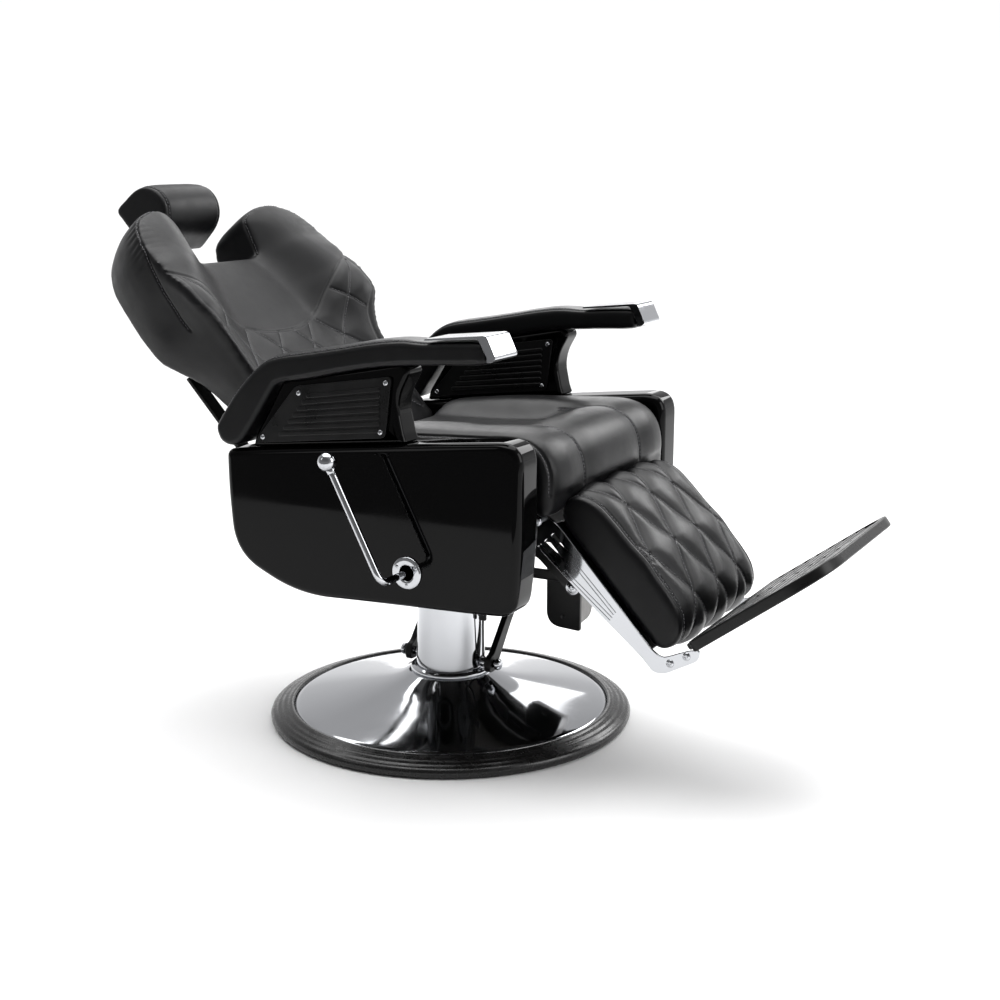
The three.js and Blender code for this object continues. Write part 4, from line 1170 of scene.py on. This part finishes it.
def add_backrest():
    half = [(216, 22, 20), (221, 200, 60), (237, 280, 40), (280, 330, 34), (281, 425, 50), (279, 500, 50),
            (247, 556, 46), (196, 579, 40), (144, 582, 30), (103, 572, 22), (99, 488, 12)]
    outline = resample(fillet(both_sides(half), 20, 10), 9.0, True)

    def wall(t, a, b, n):
        bulge = (1.0 if abs(a) < 125 and b > 460 else 5.0) * math.sin(math.pi * t)
        dart = 0
        if abs(a) > 150:
            dart = 9.0 * math.exp(-((b - 360) / 45.0) ** 2) * math.sin(math.pi * min(1, t * 1.25))
        return a + n[0] * (bulge - dart), b + n[1] * (bulge - dart)

    cover = shell("backrest_cover", outline, front_v, rear_v, wall, on_back, BACK_LEATHER, 15.0, 0.87)

    yoke = [(-x, u) for x, u in YOKE[:0:-1]] + YOKE
    seams = [Seam([on_back(x, u, front_v(x, u)) for x, u in spline(yoke, 12)], 2.4, 5.0)]
    for row in range(-6, 9):
        for lean in (-1, 1):
            x0 = 50 + 100 * row
            line = []
            for u in np.arange(60, 430, 12.0):
                x = x0 + lean * (u - 262) * 50 / 68
                if u < YOKE_U(abs(x)) - 2 and abs(x) < QUILT_EDGE(u):
                    line.append(on_back(x, u, front_v(x, u)))
                elif len(line) > 1:
                    break
                else:
                    line = []
            if len(line) > 2:
                seams.append(Seam(line, 1.6, 5.0, True, [0.0]))
    for s in (-1, 1):
        border = [(204, 60), (206, 200), (221, 280), (260, 330), (266, 360), (265, 400), (270, 424)]
        seams.append(Seam([on_back(s * x, u, front_v(x, u) + 2) for x, u in spline(border, 12)], 1.0, 4.5))
        lobe = [(99, 488, 13), (101, 535, 24), (106, 571, 36), (144, 580, 52), (196, 578, 60), (247, 556, 62),
                (272, 510, 62), (276, 488, 60), (270, 440, 48), (262, 395, 36), (252, 362, 30), (241, 335, 29)]
        seams.append(Seam([on_back(s * x, u, v) for x, u, v in lobe], 2.4, 5.0, True, [2.2]))
        rear = [(180, 40), (192, 200), (204, 280), (238, 335), (243, 430), (240, 500), (212, 552), (160, 566)]
        seams.append(Seam([on_back(s * x, u, rear_v(x, u) + 1) for x, u in spline(rear, 14)], 2.0, 5.0))
    notch = [(-99, 488, 12), (-50, 487.5, 11.5), (0, 487.5, 11), (50, 487.5, 11.5), (99, 488, 12)]
    seams.append(Seam([on_back(*p) for p in notch], 2.0, 4.5))

    def puff(points):
        x, u, v = from_back(points)
        facing = smoothstep(-30, -3, v - front_v(x, u))
        quilted = (facing > 0.3) & (u < YOKE_U(abs(x)))
        rise = 3.0 + np.where(quilted, 0.6, 3.0) * facing
        reach = np.where(quilted, 16.0, 36.0)
        rise = rise * smoothstep(0, 30, v - rear_v(x, u))
        in_notch = (abs(x) < 103) & (u > 480) & (v < front_v(x, u) - 4)
        return np.where(in_notch, 0.0, rise), reach

    def hold(points):
        x, u, v = from_back(points)
        return np.where((v < rear_v(x, u) + 8) | (u < 32), 1.0, 0.0)

    upholster(cover, seams, 5.0, puff, hold, 6.0, 4.0, 9, 9)
    # Gathers at the near edge of each lobe, where the cover turns the corner.
    rng = np.random.default_rng(11)
    points, normals = coordinates(cover), normals_of(cover)
    x, u, v = from_back(points)
    for s in (-1, 1):
        for k in range(7):
            u0 = 552 - 13 * k + rng.uniform(-2, 2)
            reach = np.exp(-((u - u0) / 3.4) ** 2) * np.exp(-((v - 44) / 15.0) ** 2) * (s * x > 225)
            points = points - normals * (1.5 * reach)[:, None]
    set_coordinates(cover, points)
    place_on(cover, "backrest", "backrest_cushion", "backrest_board")
    sew("backrest", "backrest", seams)

    rear_half = [(168, 34, 18), (176, 200, 50), (188, 280, 40), (222, 338, 30), (226, 430, 50), (222, 494, 40),
                 (196, 538, 36), (142, 550, 30), (108, 536, 20), (102, 470, 14)]
    rear_outline = resample(fillet(both_sides(rear_half), 20, 8), 9.0, True)

    def flat_wall(t, a, b, n):
        bulge = 2.5 * math.sin(math.pi * t)
        return a + n[0] * bulge, b + n[1] * bulge

    rear_pad = shell("backrest_rear_cover", rear_outline, lambda x, u: rear_v(x, u) + 10,
                     lambda x, u: rear_v(x, u) - 5, flat_wall, on_back, LEATHER, 16.0)
    rim = [on_back(a, b, rear_v(a, b) - 4) for a, b in resample(rear_outline * [0.965, 1], 12)]
    rear_seams = [Seam(rim, 1.4, 4.0, True, [0.0])]

    def rear_hold(points):
        x, u, v = from_back(points)
        return np.where(v > rear_v(x, u) - 1, 1.0, 0.0)

    upholster(rear_pad, rear_seams, 5.0, None, rear_hold, 3.0, 3.0, 3)
    place_on(rear_pad, "backrest", "backrest_rear_pad")
    sew("backrest", "backrest_rear", rear_seams)


def add_headrest():
    profile = [(583, -74), (583, -40), (586, -12), (597, 12), (617, 27), (637, 31), (657, 27), (677, 12),
               (688, -12), (691, -40), (691, -74), (672, -76), (637, -76), (602, -76)]
    line = spline(profile, 6.0, True)
    middle = np.array([637, -40.0])
    rings = []
    for x in (-85, -84.4, -82.5, -79, -73, -60, -40, -20, 0, 20, 40, 60, 73, 79, 82.5, 84.4, 85):
        shrink = 1 - 0.12 * rounding(min(1, (85 - abs(x)) / 12))
        ring = middle + (line - middle) * shrink
        rings.append([on_back(x, u, v) for u, v in ring])
    pad = loft("headrest_pillow", rings, BACK_LEATHER)
    seams = []
    wrap = profile[1:11]
    for x in (-75, 75):
        seams.append(Seam([on_back(x, u, v) for u, v in wrap], 2.6, 5.0, True, [2.6 if x < 0 else -2.6]))

    def puff(points):
        x, u, v = from_back(points)
        return np.where((v < -70) | (abs(x) > 75), 0.0, 2.0), np.full(len(points), 20.0)

    def hold(points):
        x, u, v = from_back(points)
        return np.where(v < -68, 1.0, 0.0)

    upholster(pad, seams, 4.0, puff, hold, 4.0, 4.0, 4)
    place_on(pad, "headrest", "headrest_cushion")
    sew("headrest", "headrest", seams)


# ------------------------------------------------------------------ legrest and footplate
LEG_SIDE = [(-320, 446), (-318, 466), (-330, 485), (-352, 489), (-381, 477), (-410, 451), (-437, 423),
            (-467, 396), (-487, 371), (-510, 344), (-525, 322), (-532, 302), (-532, 280), (-522, 262),
            (-504, 252), (-488, 254)]


def add_legrest():
    front = spline(LEG_SIDE, 5.0)
    back = resample([(-486, 258), (-404, 350), (-321, 441)], 8.0)[1:-1]
    base_ring = np.vstack([front, back])
    centre = np.array([-410, 365.0])
    normal = np.zeros_like(base_ring)
    for k in range(len(front)):
        a, b = front[max(0, k - 1)], front[min(len(front) - 1, k + 1)]
        t = unit(b - a)
        normal[k] = (t[1], -t[0])
        if normal[k].dot(front[k] - centre) < 0:
            normal[k] *= -1
    fade = np.r_[np.sin(np.linspace(0, math.pi, len(front))) ** 0.6, np.zeros(len(back))]
    rings = []
    for x in (-182, -181.4, -179.5, -176, -170, *np.arange(-160, 161, 16), 170, 176, 179.5, 181.4, 182):
        crown = 7.0 * (1 - (x / 182) ** 2)
        pull = 9.0 * rounding(min(1, (182 - abs(x)) / 11))
        ring = base_ring + normal * (fade * (crown - pull))[:, None]
        rings.append(np.column_stack([np.full(len(ring), x), ring]))
    cushion = loft("legrest_cushion_cover", rings, LEATHER)

    lengths = lengths_along(front)
    total = lengths[-1]

    def face(x, s):
        a = np.interp(s, lengths, front[:, 0])
        b = np.interp(s, lengths, front[:, 1])
        k = int(np.argmin(abs(lengths - s)))
        lift = 7.0 * (1 - (x / 182) ** 2) * fade[k]
        return (x, a + normal[k][0] * lift, b + normal[k][1] * lift)

    row_s, step, across, limit = 118.0, 90.0, 50.0, 162.0
    seams = []
    for k in range(-7, 8):
        for lean in (-1, 1):
            line = []
            for s in np.arange(24, total - 14, 8.0):
                x = 100 * k + lean * (s - row_s) * across / step
                if abs(x) < limit:
                    line.append(face(x, s))
            if len(line) > 2:
                seams.append(Seam(line, 1.9, 5.5, True, [0.0]))
    for s in (-1, 1):
        edge = [face(s * 167, t) for t in np.arange(10, total - 4, 10)]
        seams.append(Seam(edge, 2.2, 4.6, True, [3.2 * s], 1.9))

    def depth_of(y, z):
        return (-(y + 486) * 183 + (z - 258) * 165) / math.hypot(165, 183)

    def puff(points):
        x, y, z = points.T
        depth = depth_of(y, z)
        quilted = (abs(x) < 170) & (depth > 8)
        return np.where(quilted, 7.0, np.where(depth > 8, 1.5, 0.0)), np.where(quilted, 15.0, 18.0)

    def hold(points):
        x, y, z = points.T
        return np.where((depth_of(y, z) < 8) | (abs(x) > 178), 1.0, 0.0)

    upholster(cushion, seams, 4.5, puff, hold, 4.0, 4.0, 4)
    place_on(cushion, "legrest", "legrest_cushion")
    sew("legrest", "legrest", seams)


def add_legrest_metal(name, side):
    at = along_side(side)
    corners = [(-263, 457, 10), (-263, 420, 12), (-284, 398, 10), (-370, 322, 20), (-470, 240, 10),
               (-494, 215, 16), (-514, 217, 8), (-570, 247, 10), (-573, 266, 8), (-553, 262, 6), (-508, 243, 12),
               (-492, 252, 10), (-398, 355, 20), (-325, 436, 10), (-298, 457, 8)]
    plate = prism("plate", fillet(corners, 8, 8), 190.2, 195.4, CHROME, at, 1.1, 3)
    tools = [revolve("bore", [(0, 150), (6.6, 150), (6.6, 230), (0, 230)], CHROME,
                     about("x", (0, -280, 445), side), 32)]
    for y, z in ((-352, 386), (-340, 375), (-328, 365)):
        slit = fillet([(y, z, 1.2), (y + 41, z + 43, 3), (y + 47, z + 36, 3)], 2, 5)
        tools.append(prism("slit", slit, 185, 201, CHROME, at))
    carve(bake(plate), tools)
    parts = [plate]
    for (y0, z0), (y1, z1) in (((-353, 376), (-423, 305)), ((-330, 366), (-417, 295))):
        run = unit(np.array([y1 - y0, z1 - z0], float))
        n = np.array([-run[1], run[0]])
        a, b = np.array([y0, z0]), np.array([y1, z1])
        for offset in (-3.0, 3.0):
            strip = fillet([tuple(a + n * (offset - 0.9)), tuple(b + n * (offset - 0.9)),
                            tuple(b + n * (offset + 0.9)), tuple(a + n * (offset + 0.9))], 0.8, 4)
            parts.append(prism("bead", strip, 195.0, 196.4, CHROME, at, 0.5, 2))
    for y, z in ((-522, 236), (-550, 252)):
        parts.append(pan_head("foot_screw", about("x", (side * 195.2, y, z), side), 6.8, 3.2))
    pivot = revolve("pivot_cap", [(0, 5.2), (5.5, 5.0), (8.4, 3.6), (9.2, 1.6), (9.2, 0), (0, 0)], CHROME,
                    about("x", (side * 195.5, -280, 445), side), 36)
    parts.append(pivot)
    place_on(join("legrest_arm_" + name, parts), "legrest", "legrest_bracket_" + name)

    at_bolt = about("x", (side * 160, -333, 330), side)
    bolt = revolve("shank", [(0, -14), (4.6, -14), (4.6, 6.4), (0, 6.4)], CHROME, at_bolt, 28)
    washer = revolve("washer", [(0, 6.6), (11.5, 6.6), (12, 7.2), (12, 8.2), (11.4, 8.8), (0, 8.8)], CHROME,
                     at_bolt, 40)
    head = pan_head("head", about("x", (side * 168.6, -333, 330), side), 8.8, 4.6)
    place_on(join("legrest_bolt_" + name, [bolt, washer, head]), "legrest", "link_bolt_" + name)


def add_footplate():
    heel, toe = np.array([0, -560, 268.0]), np.array([0, -778, 428.0])
    run = unit(toe - heel)
    length = float(np.linalg.norm(toe - heel))
    out = np.array([0, run[2], -run[1]])
    out = out if out[2] > 0 else -out

    def at(a, b, d):
        return tuple(heel + np.array([a, 0, 0]) + run * b + out * d)

    rim = fillet([(-210, 0, 18), (210, 0, 18), (210, length, 84), (-210, length, 84)], 20, 16)
    plate = prism("tray", rim, -7, 12, ENAMEL, at, 3, 4)
    inner = fillet([(-197, 12, 12), (197, 12, 12), (197, length - 13, 74), (-197, length - 13, 74)], 12, 16)
    well = prism("well", inner, 0.5, 30, ENAMEL, at)
    hollow = prism("hollow", inner, -20, -3, ENAMEL, at)
    carve(bake(plate), [well, hollow])
    parts = [plate]
    rows = 9
    for i in range(rows):
        b = 25 + i * (length - 50) / (rows - 1)
        reach = 186 - 60 * float(smoothstep(length - 84, length - 10, b))
        for x0, x1 in ((-reach, -4), (4, reach)):
            bar = fillet([(x0, b - 6.5), (x1, b - 6.5), (x1, b + 6.5), (x0, b + 6.5)], 6, 8)
            parts.append(prism(f"rib{i}", bar, 0.2, 11.6, ENAMEL, at, 2.4, 3))
    for x in (-120, 0, 120):
        web = fillet([(x - 4, 8), (x + 4, 8), (x + 4, length - 8), (x - 4, length - 8)], 2, 3)
        parts.append(prism("web", web, -6.5, -1.0, ENAMEL, at, 1.2, 2))

    def across(a, b, d):
        return at(d, a - 4, b)

    lug = fillet([(-6, -2, 5), (38, -2, 6), (38, 10, 4), (-6, 10, 4)], 4, 5)
    for s in (-1, 1):
        x0, x1 = sorted((s * 176, s * 189.6))
        parts.append(prism("lug", lug, x0, x1, ENAMEL, across, 1.5, 3))
    place_on(join("foot_tread", parts), "legrest", "footplate")


add_stage()
add_base()
add_pedal()
add_frame_looks()
for label, sign in SIDES.items():
    add_side_panel(label, sign)
    add_armrest(label, sign)
    add_legrest_metal(label, sign)
add_lever()
add_seat()
add_backrest()
add_headrest()
add_legrest()
add_footplate()
